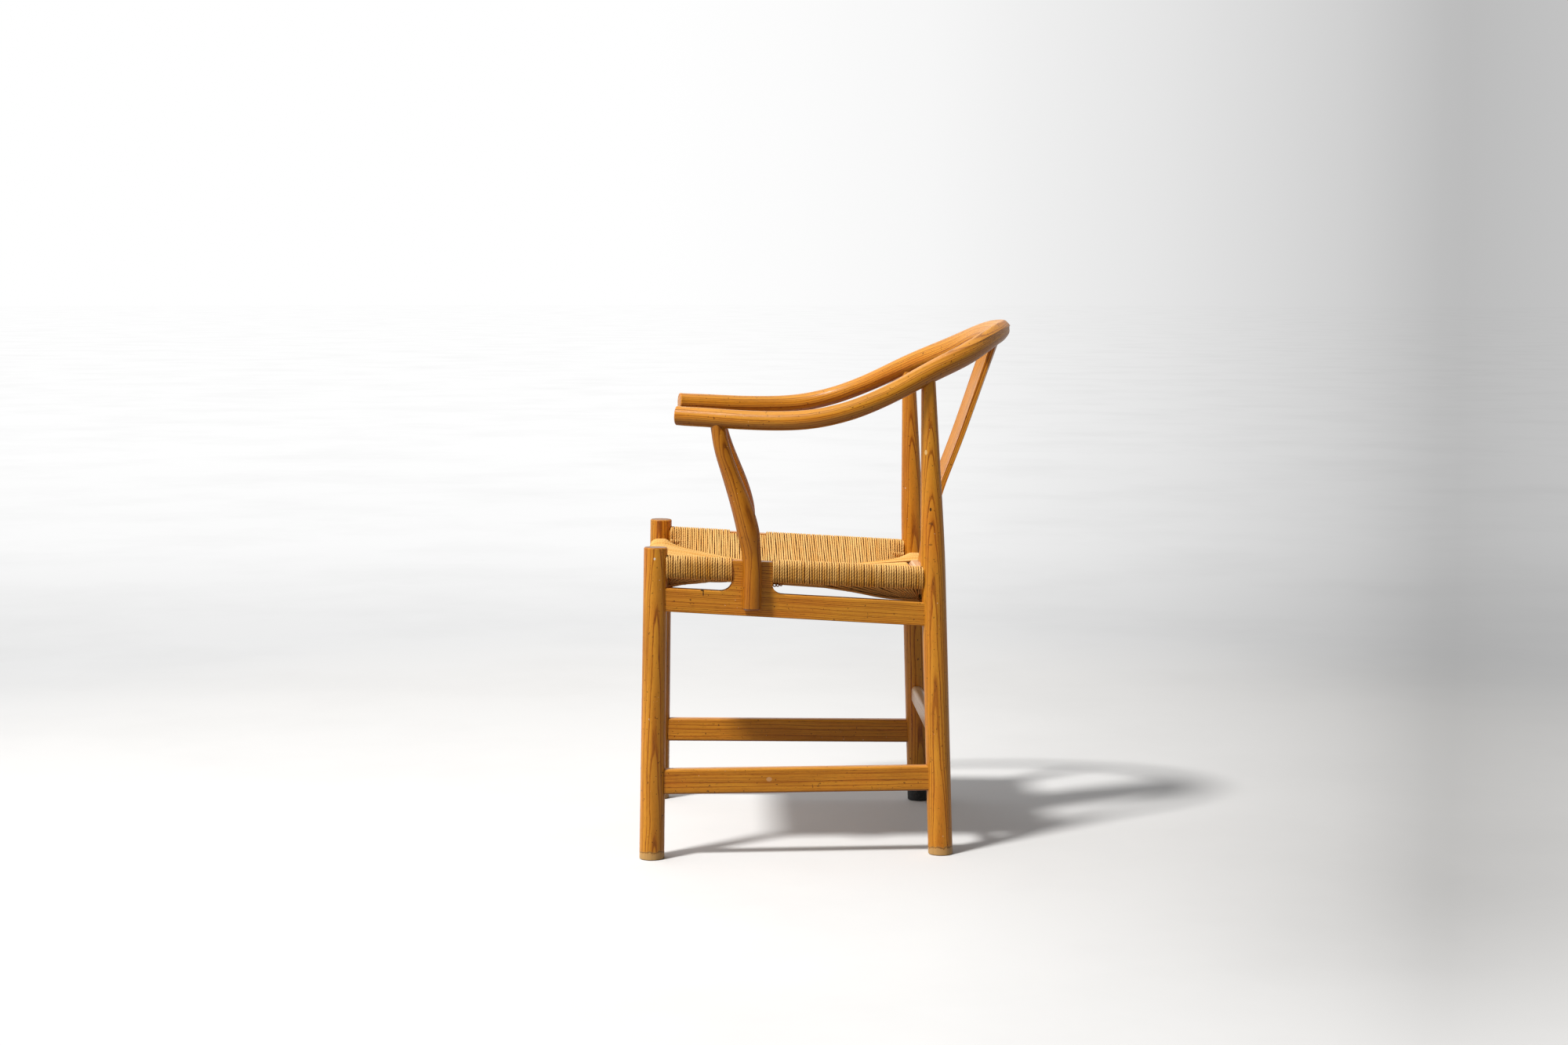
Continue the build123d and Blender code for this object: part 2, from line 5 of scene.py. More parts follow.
import bpy
import numpy as np
from mathutils import Matrix, Vector


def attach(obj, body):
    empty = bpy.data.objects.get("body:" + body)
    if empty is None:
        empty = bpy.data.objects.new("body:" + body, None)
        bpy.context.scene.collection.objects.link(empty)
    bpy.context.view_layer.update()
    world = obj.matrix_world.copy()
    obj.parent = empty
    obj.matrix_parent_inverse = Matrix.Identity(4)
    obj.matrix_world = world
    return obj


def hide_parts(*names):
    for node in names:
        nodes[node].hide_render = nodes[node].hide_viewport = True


# Horseshoe back armchair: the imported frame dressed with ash, paper cord and a studio.
# Sizes are in millimetres, depths are measured back from the axis of the front feet, and inFrame()
# turns both to the frame's metres.
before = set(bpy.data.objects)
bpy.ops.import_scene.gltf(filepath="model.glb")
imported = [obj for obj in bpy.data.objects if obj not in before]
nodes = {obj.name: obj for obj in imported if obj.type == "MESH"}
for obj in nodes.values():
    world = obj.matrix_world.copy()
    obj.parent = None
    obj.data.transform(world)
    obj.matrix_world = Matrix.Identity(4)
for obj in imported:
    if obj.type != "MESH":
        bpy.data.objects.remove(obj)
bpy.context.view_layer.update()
print("frame loaded,", len(nodes), "nodes")

middleDepth = 270.06  # from the axis of the front feet to the middle of the chair
toSide, toBack, upward = (1, 0, 0), (0, 1, 0), (0, 0, 1)
mixShare, mixFirst, mixSecond, mixColour = 0, 6, 7, 2  # sockets of a mix node for colours, and its output


def inFrame(points):
    return (np.asarray(points, float) - (0, middleDepth, 0)) / 1000


def cells(*sizes):
    # Scale of a pattern in metres, from the sizes of its cells in millimetres
    return tuple(1000 / size for size in sizes)


def hexColour(text):
    channels = [int(text[i:i + 2], 16) / 255 for i in (1, 3, 5)]
    return tuple(c / 12.92 if c <= 0.04045 else ((c + 0.055) / 1.055) ** 2.4 for c in channels) + (1.0,)


def grey(value):
    return (value, value, value, 1.0)


def addNode(tree, kind, inputs=None, **settings):
    # Adds a node and gives its outputs. An input is a value, or an output of another node
    node = tree.nodes.new("ShaderNode" + kind)
    for index, (place, shade) in enumerate(settings.pop("stops", ())):  # of a colour ramp
        stop = node.color_ramp.elements[index] if index < 2 else node.color_ramp.elements.new(place)
        stop.position, stop.color = place, shade
    for name, value in settings.items():
        setattr(node, name, value)
    for name, value in (inputs or {}).items():
        if isinstance(value, bpy.types.NodeSocket):
            tree.links.new(value, node.inputs[name])
        else:
            node.inputs[name].default_value = value
    return node.outputs


def newMaterial(name):
    material = bpy.data.materials.new(name)
    material.use_nodes = True
    material.node_tree.nodes.clear()
    return material, material.node_tree


def dress(target, material):
    target.data.materials.clear()
    target.data.materials.append(material)


# Camera and stage

cameraValues = {
    "place": (4.30934, -0.18229, 0.87826),  # metres, at the sitter's left
    "turn": -0.027206,                      # radians off the square side view
    "tilt": 0.090936,                       # radians down
    "roll": 0.000709,
    "lens": 63.0,
    "sensor": 36.0,
    "nearest": 0.05,                        # metres
    "furthest": 200,
}


def addCamera():
    turn, tilt, roll = cameraValues["turn"], cameraValues["tilt"], cameraValues["roll"]
    level = Vector((-math.cos(turn), -math.sin(turn), 0))
    up = Vector(upward)
    side = level.cross(up)
    ahead = level * math.cos(tilt) - up * math.sin(tilt)
    above = up * math.cos(tilt) + level * math.sin(tilt)
    right = side * math.cos(roll) + above * math.sin(roll)
    above = above * math.cos(roll) - side * math.sin(roll)
    data = bpy.data.cameras.new("sideCamera")
    data.lens = cameraValues["lens"]
    data.sensor_width = cameraValues["sensor"]
    data.clip_start = cameraValues["nearest"]
    data.clip_end = cameraValues["furthest"]
    camera = bpy.data.objects.new("sideCamera", data)
    turned = Matrix((right, above, -ahead)).transposed().to_4x4()
    camera.matrix_world = Matrix.Translation(cameraValues["place"]) @ turned
    bpy.context.scene.collection.objects.link(camera)
    bpy.context.scene.camera = camera


stageValues = {
    "rings": (0.6, 1.2, 2.0, 3.0, 4.5, 8.0, 20.0, 70.0),  # metres, radii of the floor's rings
    "spokes": 64,
    "fanFrom": (4.31, -0.18, 0.0),  # metres, the painted shade of the lamp's falloff fans out from here
    # Sideways part of a level direction, and the painted shade of the lamp's falloff there
    "fan": [(-1.0, 1.0), (-0.02, 1.0), (0.03, 0.975), (0.08, 0.93), (0.113, 0.87), (0.16, 0.79), (0.2, 0.70),
            (0.227, 0.63), (0.262, 0.50), (0.40, 0.66), (0.7, 0.8), (1.0, 0.9)],
    "plainFrom": 0.4,               # metres towards the camera, where the fan fades into one plain shade
    "plainTo": 2.2,
    "plain": 0.94,
    # Metres towards the camera, and the painted shade there, as where studio paper turns up into a wall
    "turn": [(-9.0, 1.0), (-4.6, 0.97), (-3.6, 0.92), (-2.6, 0.86), (-1.5, 0.83), (-0.75, 0.91), (-0.1, 0.98),
             (1.0, 1.0)],
    "lit": 1.5,                     # metres from the chair to where the floor only shows the paper's shade
    "unlit": 2.6,
    "bounce": 0.3,                  # shade that lights the chair from below
    "nearShade": 0.83,              # of the paper under the lamp, so that it doesn't burn out
    "scuffs": 0.05,
    "scuffSize": 769.23,
    "roughness": 0.8,
    "gloss": 0.1,
}


def paintedLampFalloff(tree, direction):
    # Painted light: whitest on the lamp's side, greyer away from it
    flat = addNode(tree, "VectorMath", {0: direction, 1: (1, 1, 0)}, operation="MULTIPLY")[0]
    flat = addNode(tree, "VectorMath", {0: flat}, operation="NORMALIZE")[0]
    sideways = addNode(tree, "SeparateXYZ", {0: flat})["Y"]
    share = addNode(tree, "MapRange", {"Value": sideways, "From Min": -1.0, "From Max": 1.0})[0]
    stops = [((place + 1) / 2, grey(shade)) for place, shade in stageValues["fan"]]
    return addNode(tree, "ValToRGB", {0: share}, stops=stops)[0]


def paperMaterial():
    # Painted paper, rolled out flat: matt, faintly scuffed near the chair, with painted lamp falloff and a
    # painted shade band where paper would turn into a wall, and only a backdrop further off
    material, tree = newMaterial("rolledStudioPaper")
    add = partial(addNode, tree)
    spot = add("NewGeometry")["Position"]
    ahead = add("SeparateXYZ", {0: spot})["X"]
    away = add("VectorMath", {0: spot, 1: stageValues["fanFrom"]}, operation="SUBTRACT")[0]
    shade = paintedLampFalloff(tree, away)
    front = {"Value": ahead, "From Min": stageValues["plainFrom"], "From Max": stageValues["plainTo"]}
    front = add("MapRange", front, interpolation_type="SMOOTHSTEP")[0]
    plain = {mixShare: front, mixFirst: shade, mixSecond: grey(stageValues["plain"])}
    shade = add("Mix", plain, data_type="RGBA")[mixColour]

    # Painted shade in a band beyond the chair, as where paper turns up into a wall, and a little dimmer where
    # it is scuffed
    first, last = stageValues["turn"][0][0], stageValues["turn"][-1][0]
    place = add("MapRange", {"Value": ahead, "From Min": first, "From Max": last})[0]
    stops = [((at - first) / (last - first), grey(dim)) for at, dim in stageValues["turn"]]
    turn = add("ValToRGB", {0: place}, stops=stops)[0]
    noise = {"Vector": spot, "Scale": cells(stageValues["scuffSize"])[0], "Detail": 6.0, "Roughness": 0.62}
    rubbed = {"Value": add("TexNoise", noise)[0], "From Min": 0.45, "From Max": 0.75,
              "To Min": 1.0, "To Max": 1 - stageValues["scuffs"]}
    turn = add("Math", {0: turn, 1: add("MapRange", rubbed)[0]}, operation="MULTIPLY")[0]
    dimmed = {mixShare: 1.0, mixFirst: shade, mixSecond: turn}
    paper = add("Mix", dimmed, data_type="RGBA", blend_type="MULTIPLY")[mixColour]

    # Seen directly it shows its own shade; what it throws back on the chair is dimmer
    rays = add("LightPath")
    seen = add("Math", {0: rays["Is Camera Ray"], 1: rays["Is Glossy Ray"]}, operation="MAXIMUM")[0]
    lit = {mixShare: 1.0, mixFirst: paper, mixSecond: grey(stageValues["nearShade"])}
    lit = add("Mix", lit, data_type="RGBA", blend_type="MULTIPLY")[mixColour]
    lit = {mixShare: seen, mixFirst: grey(stageValues["bounce"]), mixSecond: lit}
    lit = add("Mix", lit, data_type="RGBA")[mixColour]
    surface = add("BsdfPrincipled", {"Base Color": lit, "Roughness": stageValues["roughness"],
                                     "Specular IOR Level": stageValues["gloss"]})[0]

    # Beyond the lamp's pool the paper glows with its painted shade
    reach = add("VectorMath", {0: spot}, operation="LENGTH")["Value"]
    pool = {"Value": reach, "From Min": stageValues["lit"], "From Max": stageValues["unlit"]}
    beyond = add("MapRange", pool, interpolation_type="SMOOTHSTEP")[0]
    beyond = add("Math", {0: beyond, 1: seen}, operation="MULTIPLY")[0]
    glow = add("Emission", {"Color": paper, "Strength": 1.0})[0]
    add("OutputMaterial", {"Surface": add("MixShader", {0: beyond, 1: surface, 2: glow})[0]})
    return material


def addStage():
    spokes = stageValues["spokes"]
    points = [(0, 0, 0)]
    for radius in stageValues["rings"]:
        for spoke in range(spokes):
            angle = 2 * math.pi * spoke / spokes
            points.append((radius * math.cos(angle), radius * math.sin(angle), 0))
    faces = [(0, 1 + spoke, 1 + (spoke + 1) % spokes) for spoke in range(spokes)]
    for ring in range(len(stageValues["rings"]) - 1):
        inner, outer = 1 + ring * spokes, 1 + (ring + 1) * spokes
        for spoke in range(spokes):
            after = (spoke + 1) % spokes
            faces.append((inner + spoke, outer + spoke, outer + after, inner + after))
    mesh = bpy.data.meshes.new("studioFloor")
    mesh.from_pydata(points, [], faces)
    mesh.materials.append(paperMaterial())
    floor = bpy.data.objects.new("studioFloor", mesh)
    bpy.context.scene.collection.objects.link(floor)


lightValues = {
    "towardsKey": (0.43, -0.48, 1.0),
    "keyStrength": 3.2,
    "keyWidth": 8.0,           # degrees, as a softbox looks from the chair
    "keyTint": "#FFFDFA",
    "towardsWindow": (-0.25, -0.9, 0.35),
    "roomFrom": -0.2,          # facing away from the window, where the room is at its dimmest
    "roomBright": 1.02,        # the room's strength towards the window, and away from it
    "roomDim": 0.08,
}


def addLamp():
    data = bpy.data.lights.new("keySoftbox", "SUN")
    data.energy = lightValues["keyStrength"]
    data.angle = math.radians(lightValues["keyWidth"])
    data.color = hexColour(lightValues["keyTint"])[:3]
    lamp = bpy.data.objects.new("keySoftbox", data)
    lamp.rotation_mode = "QUATERNION"
    lamp.rotation_quaternion = (-Vector(lightValues["towardsKey"])).to_track_quat("-Z", "Y")
    bpy.context.scene.collection.objects.link(lamp)


def addRoom():
    # The camera sees backdrop paper, and so does gloss that mirrors the far side. The chair is lit by
    # a bright window side and a dim side
    world = bpy.data.worlds.new("studioRoom")
    world.use_nodes = True
    world.node_tree.nodes.clear()
    add = partial(addNode, world.node_tree)
    direction = add("TexCoord")["Generated"]
    # The backdrop seen by the camera carries the painted lamp falloff
    paper = add("Background", {"Color": paintedLampFalloff(world.node_tree, direction), "Strength": 1.0})[0]
    window = Vector(lightValues["towardsWindow"]).normalized()
    facing = add("VectorMath", {0: direction, 1: window}, operation="DOT_PRODUCT")["Value"]
    strength = {"Value": facing, "From Min": lightValues["roomFrom"], "From Max": 1.0,
                "To Min": lightValues["roomDim"], "To Max": lightValues["roomBright"]}
    strength = add("MapRange", strength, interpolation_type="SMOOTHSTEP")[0]
    room = add("Background", {"Color": grey(1.0), "Strength": strength})[0]
    rays = add("LightPath")
    behind = add("Math", {0: add("SeparateXYZ", {0: direction})["X"], 1: 0.0}, operation="LESS_THAN")[0]
    gloss = add("Math", {0: rays["Is Glossy Ray"], 1: behind}, operation="MULTIPLY")[0]
    seen = add("Math", {0: rays["Is Camera Ray"], 1: gloss}, operation="MAXIMUM")[0]
    add("OutputWorld", {"Surface": add("MixShader", {0: seen, 1: room, 2: paper})[0]})
    bpy.context.scene.world = world
    bpy.context.scene.view_settings.view_transform = "Standard"


addCamera()
addStage()
addLamp()
addRoom()
print("camera, paper and lamps are in place")


# Wood

ashValues = {
    "latewood": "#E0972C",     # dense pale part of each ring
    "midwood": "#C07419",
    "earlywood": "#8C4A0E",    # open pores at the start of each ring
    "pore": "#552A06",
    "warmDrift": "#F0963C",
    "darkDrift": "#A25A10",
    "faded": "#DDB06C",        # painted highlight on faces that look up
    "browned": "#7E4410",      # painted shade on faces that look down
    # Colours laid over the latewood: the pattern each follows, its values where the colour starts and where
    # it is full, its strength there, and how it is blended
    "layers": {
        "midwood": ("darkness", 0.0, 0.45, 1.0, "MIX"),
        "earlywood": ("darkness", 0.4, 1.0, 1.0, "MIX"),
        "pore": ("pores", 0.0, 1.0, 0.75, "MIX"),
        "darkDrift": ("tone", 0.5, 0.78, 0.6, "MIX"),
        "warmDrift": ("tone", 0.5, 0.22, 0.35, "MULTIPLY"),
        "faded": ("facing", 0.15, 0.95, 0.2, "MIX"),
        "browned": ("facing", 0.05, -0.85, 0.75, "MIX"),
    },
    "ringWidth": 3.6,
    "wander": 5.0,             # how far the rings stray along a piece
    "uneven": 2.2,             # rings that the spacing strays, and its scale per ring
    "unevenScale": 0.45,
    # Darkness through one ring, from the pores at its start to the next ones
    "ring": [(0.0, 0.75), (0.08, 0.95), (0.22, 0.42), (0.42, 0.16), (0.86, 0.03), (0.96, 0.2), (1.0, 0.75)],
    # Cells along the grain and across it, detail and roughness of each noise.
    # Real pores are about 0.3 mm wide, drawn coarser so that they show
    "noises": {
        "wander": (222.22, 38.46, 3.0, 0.5),
        "streaks": (90.91, 4.762, 3.0, 0.6),
        "speckled": (9.0, 0.75, 1.0, 0.5),
        "tone": (166.67, 29.41, 2.0, 0.5),
    },
    "streakGain": (1.5, 0.1),
    "poreEdges": (0.56, 0.68),
    "poreGain": (0.8, 0.2),    # pores crowd in the dark part of a ring
    "roughness": 0.31,
    "toneRoughness": 0.12,     # added by the tone and by the pores
    "poreRoughness": 0.2,
    "coat": 0.14,
    "coatRoughness": 0.27,
    "gloss": 0.22,
    "relief": 0.12,            # depth of the pores under the lacquer
    "ringRelief": 0.35,
    # Grime pressed into the pores, and a few splashes of paint: size of a cell, the values where the colour
    # starts and where it is full, its strength, how it is blended, and the colour
    "specks": [(4.348, 0.70, 0.76, 0.75, "MIX", "#4A2808"), (3.226, 0.785, 0.82, 0.7, "MIX", "#F4E6C8")],
}

paleValues = dict(ashValues, latewood="#E2BE97", midwood="#D2A67D", earlywood="#A9795A", pore="#7D543B",
                  warmDrift="#E0AF8C", darkDrift="#B98D6A")

# A darker copy of the ash for the arm posts: painted shade
shadedPostValues = dict(ashValues, latewood="#C47C1E", midwood="#A46010", earlywood="#6C3408", warmDrift="#E08A34",
                  darkDrift="#8A480C")

footValues = {
    "bleached": "#C6A066",
    "stain": "#5A3A18",
    "strength": (0.75, 0.7),   # of both
    "height": 12.0,
    "softness": 3.0,           # above and below the height
    "stainWidth": 1.6,
    "unevenness": 16.0,
    "ripple": 11.11,
}

# Small marks in the wood: place, half sizes, strength and colour
ashMarks = {
    "leftFrontLegEndGrain": ((233.0, 7.36, 470.3), (21.5, 21.5, 1.8), 0.75, "#6B4324"),
    "rightFrontLegEndGrain": ((-233.0, 7.36, 470.3), (21.5, 21.5, 1.8), 0.75, "#6B4324"),
    "crackInBoard": ((239.5, 78.06, 402.0), (14.0, 0.9, 6.2), 0.95, "#1E1008"),
    "crackHead": ((239.5, 76.56, 405.6), (14.0, 3.0, 1.4), 0.9, "#1E1008"),
    "knotInRearLeg": ((223.0, 418.56, 524.6), (6.0, 1.9, 3.2), 0.9, "#2E1808"),
    "dentAbove": ((223.9, 418.66, 503.4), (6.0, 3.4, 1.8), 0.6, "#6E4014"),
    "dentBelow": ((225.0, 418.66, 471.7), (6.0, 3.4, 1.8), 0.6, "#6E4014"),
    "rubbedSpot": ((216.8, 411.56, 610.0), (6.0, 2.2, 4.4), 0.7, "#F2CE8C"),
    "paintDot": ((250.8, 5.96, 454.0), (6.0, 1.7, 2.0), 0.9, "#F6EEDC"),
    "paleKnot": ((237.2, 176.46, 119.2), (6.0, 4.8, 4.0), 0.6, "#D9A878"),
    "postFootEndGrain": ((259.8, 147.56, 377.2), (12.0, 19.0, 3.0), 0.6, "#9A7A52"),
}
markEdge = (1.0, 0.7)  # shares of a mark's half sizes where it starts and where it is full


def ashMaterial(name, values, marks):
    # Lacquered ash, planed or turned: bold growth rings with open dark pores under a thin satin film
    material, tree = newMaterial(name)
    add = partial(addNode, tree)
    grain = add("Attribute", attribute_name="grain")["Vector"]
    noises = {}
    for part, (along, across, detail, roughness) in values["noises"].items():
        scaled = add("VectorMath", {0: grain, 1: cells(along, across, across)}, operation="MULTIPLY")[0]
        noise = {"Vector": scaled, "Scale": 1.0, "Detail": detail, "Roughness": roughness}
        noises[part] = add("TexNoise", noise)[0]

    # Rings round the heart of the tree, which the grain's second and third part are measured from
    wander = values["wander"] / 1000
    flat = add("VectorMath", {0: grain, 1: (0, 1, 1)}, operation="MULTIPLY")[0]
    radius = add("VectorMath", {0: flat}, operation="LENGTH")["Value"]
    stray = add("Math", {0: noises["wander"], 1: 2 * wander, 2: -wander}, operation="MULTIPLY_ADD")[0]
    radius = add("Math", {0: radius, 1: stray}, operation="ADD")[0]
    ring = add("Math", {0: radius, 1: values["ringWidth"] / 1000}, operation="DIVIDE")[0]
    uneven = {"W": ring, "Scale": values["unevenScale"], "Detail": 1.0}
    uneven = add("TexNoise", uneven, noise_dimensions="1D")[0]
    ring = add("Math", {0: uneven, 1: values["uneven"], 2: ring}, operation="MULTIPLY_ADD")[0]
    place = add("Math", {0: ring}, operation="FRACT")[0]
    early = add("ValToRGB", {0: place}, stops=[(at, grey(dark)) for at, dark in values["ring"]])[0]
    gain, least = values["streakGain"]
    streaks = add("Math", {0: noises["streaks"], 1: gain, 2: least}, operation="MULTIPLY_ADD")[0]
    darkness = add("Math", {0: early, 1: streaks}, operation="MULTIPLY")[0]
    darkness = add("Math", {0: darkness, 1: 1.0}, operation="MINIMUM")[0]

    low, high = values["poreEdges"]
    pores = add("MapRange", {"Value": noises["speckled"], "From Min": low, "From Max": high})[0]
    gain, least = values["poreGain"]
    crowding = add("Math", {0: darkness, 1: gain, 2: least}, operation="MULTIPLY_ADD")[0]
    pores = add("Math", {0: pores, 1: crowding}, operation="MULTIPLY")[0]

    geometry = add("NewGeometry")
    spot = geometry["Position"]
    # Faces that look up get a painted highlight, and faces that look down get painted shade
    facing = add("SeparateXYZ", {0: geometry["Normal"]})["Z"]
    patterns = {"darkness": darkness, "pores": pores, "tone": noises["tone"], "facing": facing}
    layers = []  # pattern, start, full, strength, blend and colour
    for colour, (pattern, *look) in values["layers"].items():
        layers.append((patterns[pattern], *look, values[colour]))
    for size, *look in values["specks"]:
        grit = add("TexNoise", {"Vector": spot, "Scale": cells(size)[0], "Detail": 1.0})[0]
        layers.append((grit, *look))
    for centre, halfSizes, strength, colour in marks.values():
        off = add("VectorMath", {0: spot, 1: tuple(inFrame(centre))}, operation="SUBTRACT")[0]
        off = add("VectorMath", {0: off, 1: [size / 1000 for size in halfSizes]}, operation="DIVIDE")[0]
        far = add("VectorMath", {0: off}, operation="LENGTH")["Value"]
        layers.append((far, *markEdge, strength, "MIX", colour))

    # The feet are bleached and dirty where mops and damp have reached them
    height, softness = footValues["height"] / 1000, footValues["softness"] / 1000
    uneven = footValues["unevenness"] / 1000
    ripple = {"Vector": spot, "Scale": cells(footValues["ripple"])[0], "Detail": 3.0}
    ripple = {0: add("TexNoise", ripple)[0], 1: -uneven, 2: uneven / 2}
    ripple = add("Math", ripple, operation="MULTIPLY_ADD")[0]
    tide = add("Math", {0: add("SeparateXYZ", {0: spot})["Z"], 1: ripple}, operation="ADD")[0]
    edge = add("Math", {0: tide, 1: height}, operation="SUBTRACT")[0]
    edge = add("Math", {0: edge}, operation="ABSOLUTE")[0]
    bleached, stained = footValues["strength"]
    layers.append((tide, height + softness, height - softness, bleached, "MIX", footValues["bleached"]))
    layers.append((edge, footValues["stainWidth"] / 1000, 0.0, stained, "MIX", footValues["stain"]))

    body = hexColour(values["latewood"])
    for pattern, start, full, strength, mode, colour in layers:
        share = {"Value": pattern, "From Min": start, "From Max": full, "To Max": strength}
        share = add("MapRange", share)[0]
        mixed = {mixShare: share, mixFirst: body, mixSecond: hexColour(colour)}
        body = add("Mix", mixed, data_type="RGBA", blend_type=mode)[mixColour]

    rough = {0: noises["tone"], 1: values["toneRoughness"], 2: values["roughness"]}
    rough = add("Math", rough, operation="MULTIPLY_ADD")[0]
    rough = add("Math", {0: pores, 1: values["poreRoughness"], 2: rough}, operation="MULTIPLY_ADD")[0]
    relief = add("Math", {0: darkness, 1: values["ringRelief"], 2: pores}, operation="MULTIPLY_ADD")[0]
    relief = add("Math", {0: relief, 1: -1.0}, operation="MULTIPLY")[0]
    bump = add("Bump", {"Strength": 0.8, "Distance": values["relief"] / 1000, "Height": relief})[0]
    lacquered = {"Base Color": body, "Roughness": rough, "Normal": bump, "IOR": 1.45,
                 "Specular IOR Level": values["gloss"], "Coat Weight": values["coat"],
                 "Coat Roughness": values["coatRoughness"], "Coat IOR": 1.5}
    add("OutputMaterial", {"Surface": add("BsdfPrincipled", lacquered)[0]})
    return material


def smoothLine(points, steps=14):
    # Points on a smooth line through the given ones
    points = [Vector(p) for p in points]
    points = [points[0] * 2 - points[1]] + points + [points[-1] * 2 - points[-2]]
    line = []
    for before, start, end, after in zip(points, points[1:], points[2:], points[3:]):
        for step in range(steps):
            t = step / steps
            square = before * 2 - start * 5 + end * 4 - after
            cube = start * 3 - before - end * 3 + after
            line.append((start * 2 + (end - before) * t + square * t ** 2 + cube * t ** 3) / 2)
    return line + [points[-2]]


railHalf = [(221.0, 38.0, 665.7), (235.0, 98.7, 662.2), (250.0, 168.0, 659.3), (260.0, 248.0, 663.5),
            (246.0, 335.0, 689.0), (203.0, 415.6, 727.5), (145.0, 482.5, 758.0), (80.0, 522.7, 780.3),
            (0.0, 539.0, 785.8)]
railLine = smoothLine(railHalf + [(-x, y, z) for x, y, z in railHalf[-2::-1]])
postLine = smoothLine([(247.8, 139.7, 376.5), (246.0, 139.7, 455.0), (245.0, 134.2, 495.0),
                       (242.0, 114.2, 562.0), (239.0, 98.7, 608.0), (235.0, 98.7, 662.2)])
splatLine = smoothLine([(0, 425.2, 402), (0, 430.5, 455), (0, 443, 526), (0, 469, 599), (0, 507, 708),
                        (0, 531, 778.4)])

# For each piece: the line of its grain, which way its face is, the heart of the tree to the side of the line
# and above it, how much the grain leans, and how far along the tree it starts, in metres
grainValues = {
    "front_leg": ([(239.5, 0, 0), (233, 7.4, 470)], toBack, (-64, 9), -0.02, 1.3),
    "rear_leg": ([(216, 437, 0), (203, 415.6, 727.5)], toBack, (-58, -7), -0.021, 3.1),
    "side_frame": ([(233.1, 7.2, 420), (207.8, 423.5, 393)], upward, (60, 190), 0.0, 5.7),
    "side_stretcher": ([(237.9, 1.8, 117), (213.9, 433.6, 117)], upward, (35, 120), 0.01, 7.9),
    "arm_post": (postLine, toBack, (-150, 70), 0.0, 9.2),
    "front_seat_rail": ([(-200, 6.6, 422), (200, 6.6, 422)], upward, (40, 60), 0.0, 11.4),
    "rear_seat_rail": ([(-200, 425.2, 400), (200, 425.2, 400)], upward, (44, -60), 0.0, 13.5),
    "rear_stretcher": ([(-200, 431.6, 180), (200, 431.6, 180)], upward, (30, 70), 0.01, 15.8),
    "top_rail": (railLine, upward, (20, 66), 0.0, 17.6),
    "back_splat": (splatLine, toSide, (60, 25), 0.02, 19.9),
}
# Pieces on the right come from another part of the tree: metres further along, and share of the heart's place
rightPieces = {"further": 40.3, "heart": 0.8}


def layGrain(target, line, up, heart, lean, start):
    # Gives each vertex its place in the tree: along the grain, and away from the heart in two directions
    mesh = target.data
    spots = np.zeros(len(mesh.vertices) * 3, np.float32)
    mesh.vertices.foreach_get("co", spots)
    spots = spots.reshape(-1, 3).astype(float)
    stops = inFrame([tuple(p) for p in line])
    runs = np.diff(stops, axis=0)
    lengths = np.linalg.norm(runs, axis=1)
    passed = np.concatenate([[0], np.cumsum(lengths)])[:-1]
    nearest = np.full(len(spots), np.inf)
    values = np.zeros((len(spots), 3), np.float32)
    for index, (stop, run, length) in enumerate(zip(stops, runs, lengths)):
        ahead = run / length
        low = -np.inf if index == 0 else 0
        high = np.inf if index == len(runs) - 1 else length
        share = np.clip((spots - stop) @ ahead, low, high)
        off = spots - stop - share[:, None] * ahead
        gap = np.linalg.norm(off, axis=1)
        side = np.cross(ahead, up)
        side /= np.linalg.norm(side)
        above = np.cross(side, ahead)
        along = share + passed[index]
        aside = off @ side - heart[0] / 1000 - lean * along
        here = np.stack([along + start, aside, off @ above - heart[1] / 1000], axis=1)
        closer = gap < nearest
        nearest[closer] = gap[closer]
        values[closer] = here[closer]
    attribute = mesh.attributes.new("grain", "FLOAT_VECTOR", "POINT")
    attribute.data.foreach_set("vector", values.ravel())


def dressWood():
    ash = ashMaterial("lacqueredTurnedAsh", ashValues, ashMarks)
    pale = ashMaterial("lacqueredPaleAsh", paleValues, {})
    shadedAsh = ashMaterial("lacqueredAshPaintedShade", shadedPostValues, {})
    # The arm posts wear the darker copy, which is painted shade
    finishes = {"rear_stretcher": pale, "rear_seat_rail": pale, "arm_post": shadedAsh}
    for name, node in nodes.items():
        side, _, rest = name.partition("_")
        piece = name if name in grainValues else rest
        if piece not in grainValues:
            continue
        line, up, heart, lean, start = grainValues[piece]
        if side == "right":
            line = [(-x, y, z) for x, y, z in line]
            heart = (heart[0] * rightPieces["heart"], -heart[1])
            start += rightPieces["further"]
        layGrain(node, line, up, heart, lean, start)
        dress(node, finishes.get(piece, ash))


dressWood()
print("wood is dressed")


# Small parts

smallValues = {
    "steel": "#8A8883",
    "steelRoughness": (0.28, 0.53),
    "steelSpot": 1.4286,
    "beech": "#D9BC94",
    "beechFleck": "#A98558",
    "beechRoughness": 0.6,
    "fleckSize": (7.143, 1.111),  # along the dowel, and across it
    "rubber": "#1B1B1C",
    "rubberRoughness": 0.7,
    "dust": "#4A4948",
    "dustSize": 4.167,
    "dustEdges": (0.5, 0.72),
    "dustiness": 0.55,
    "rubberRelief": 0.2,
}


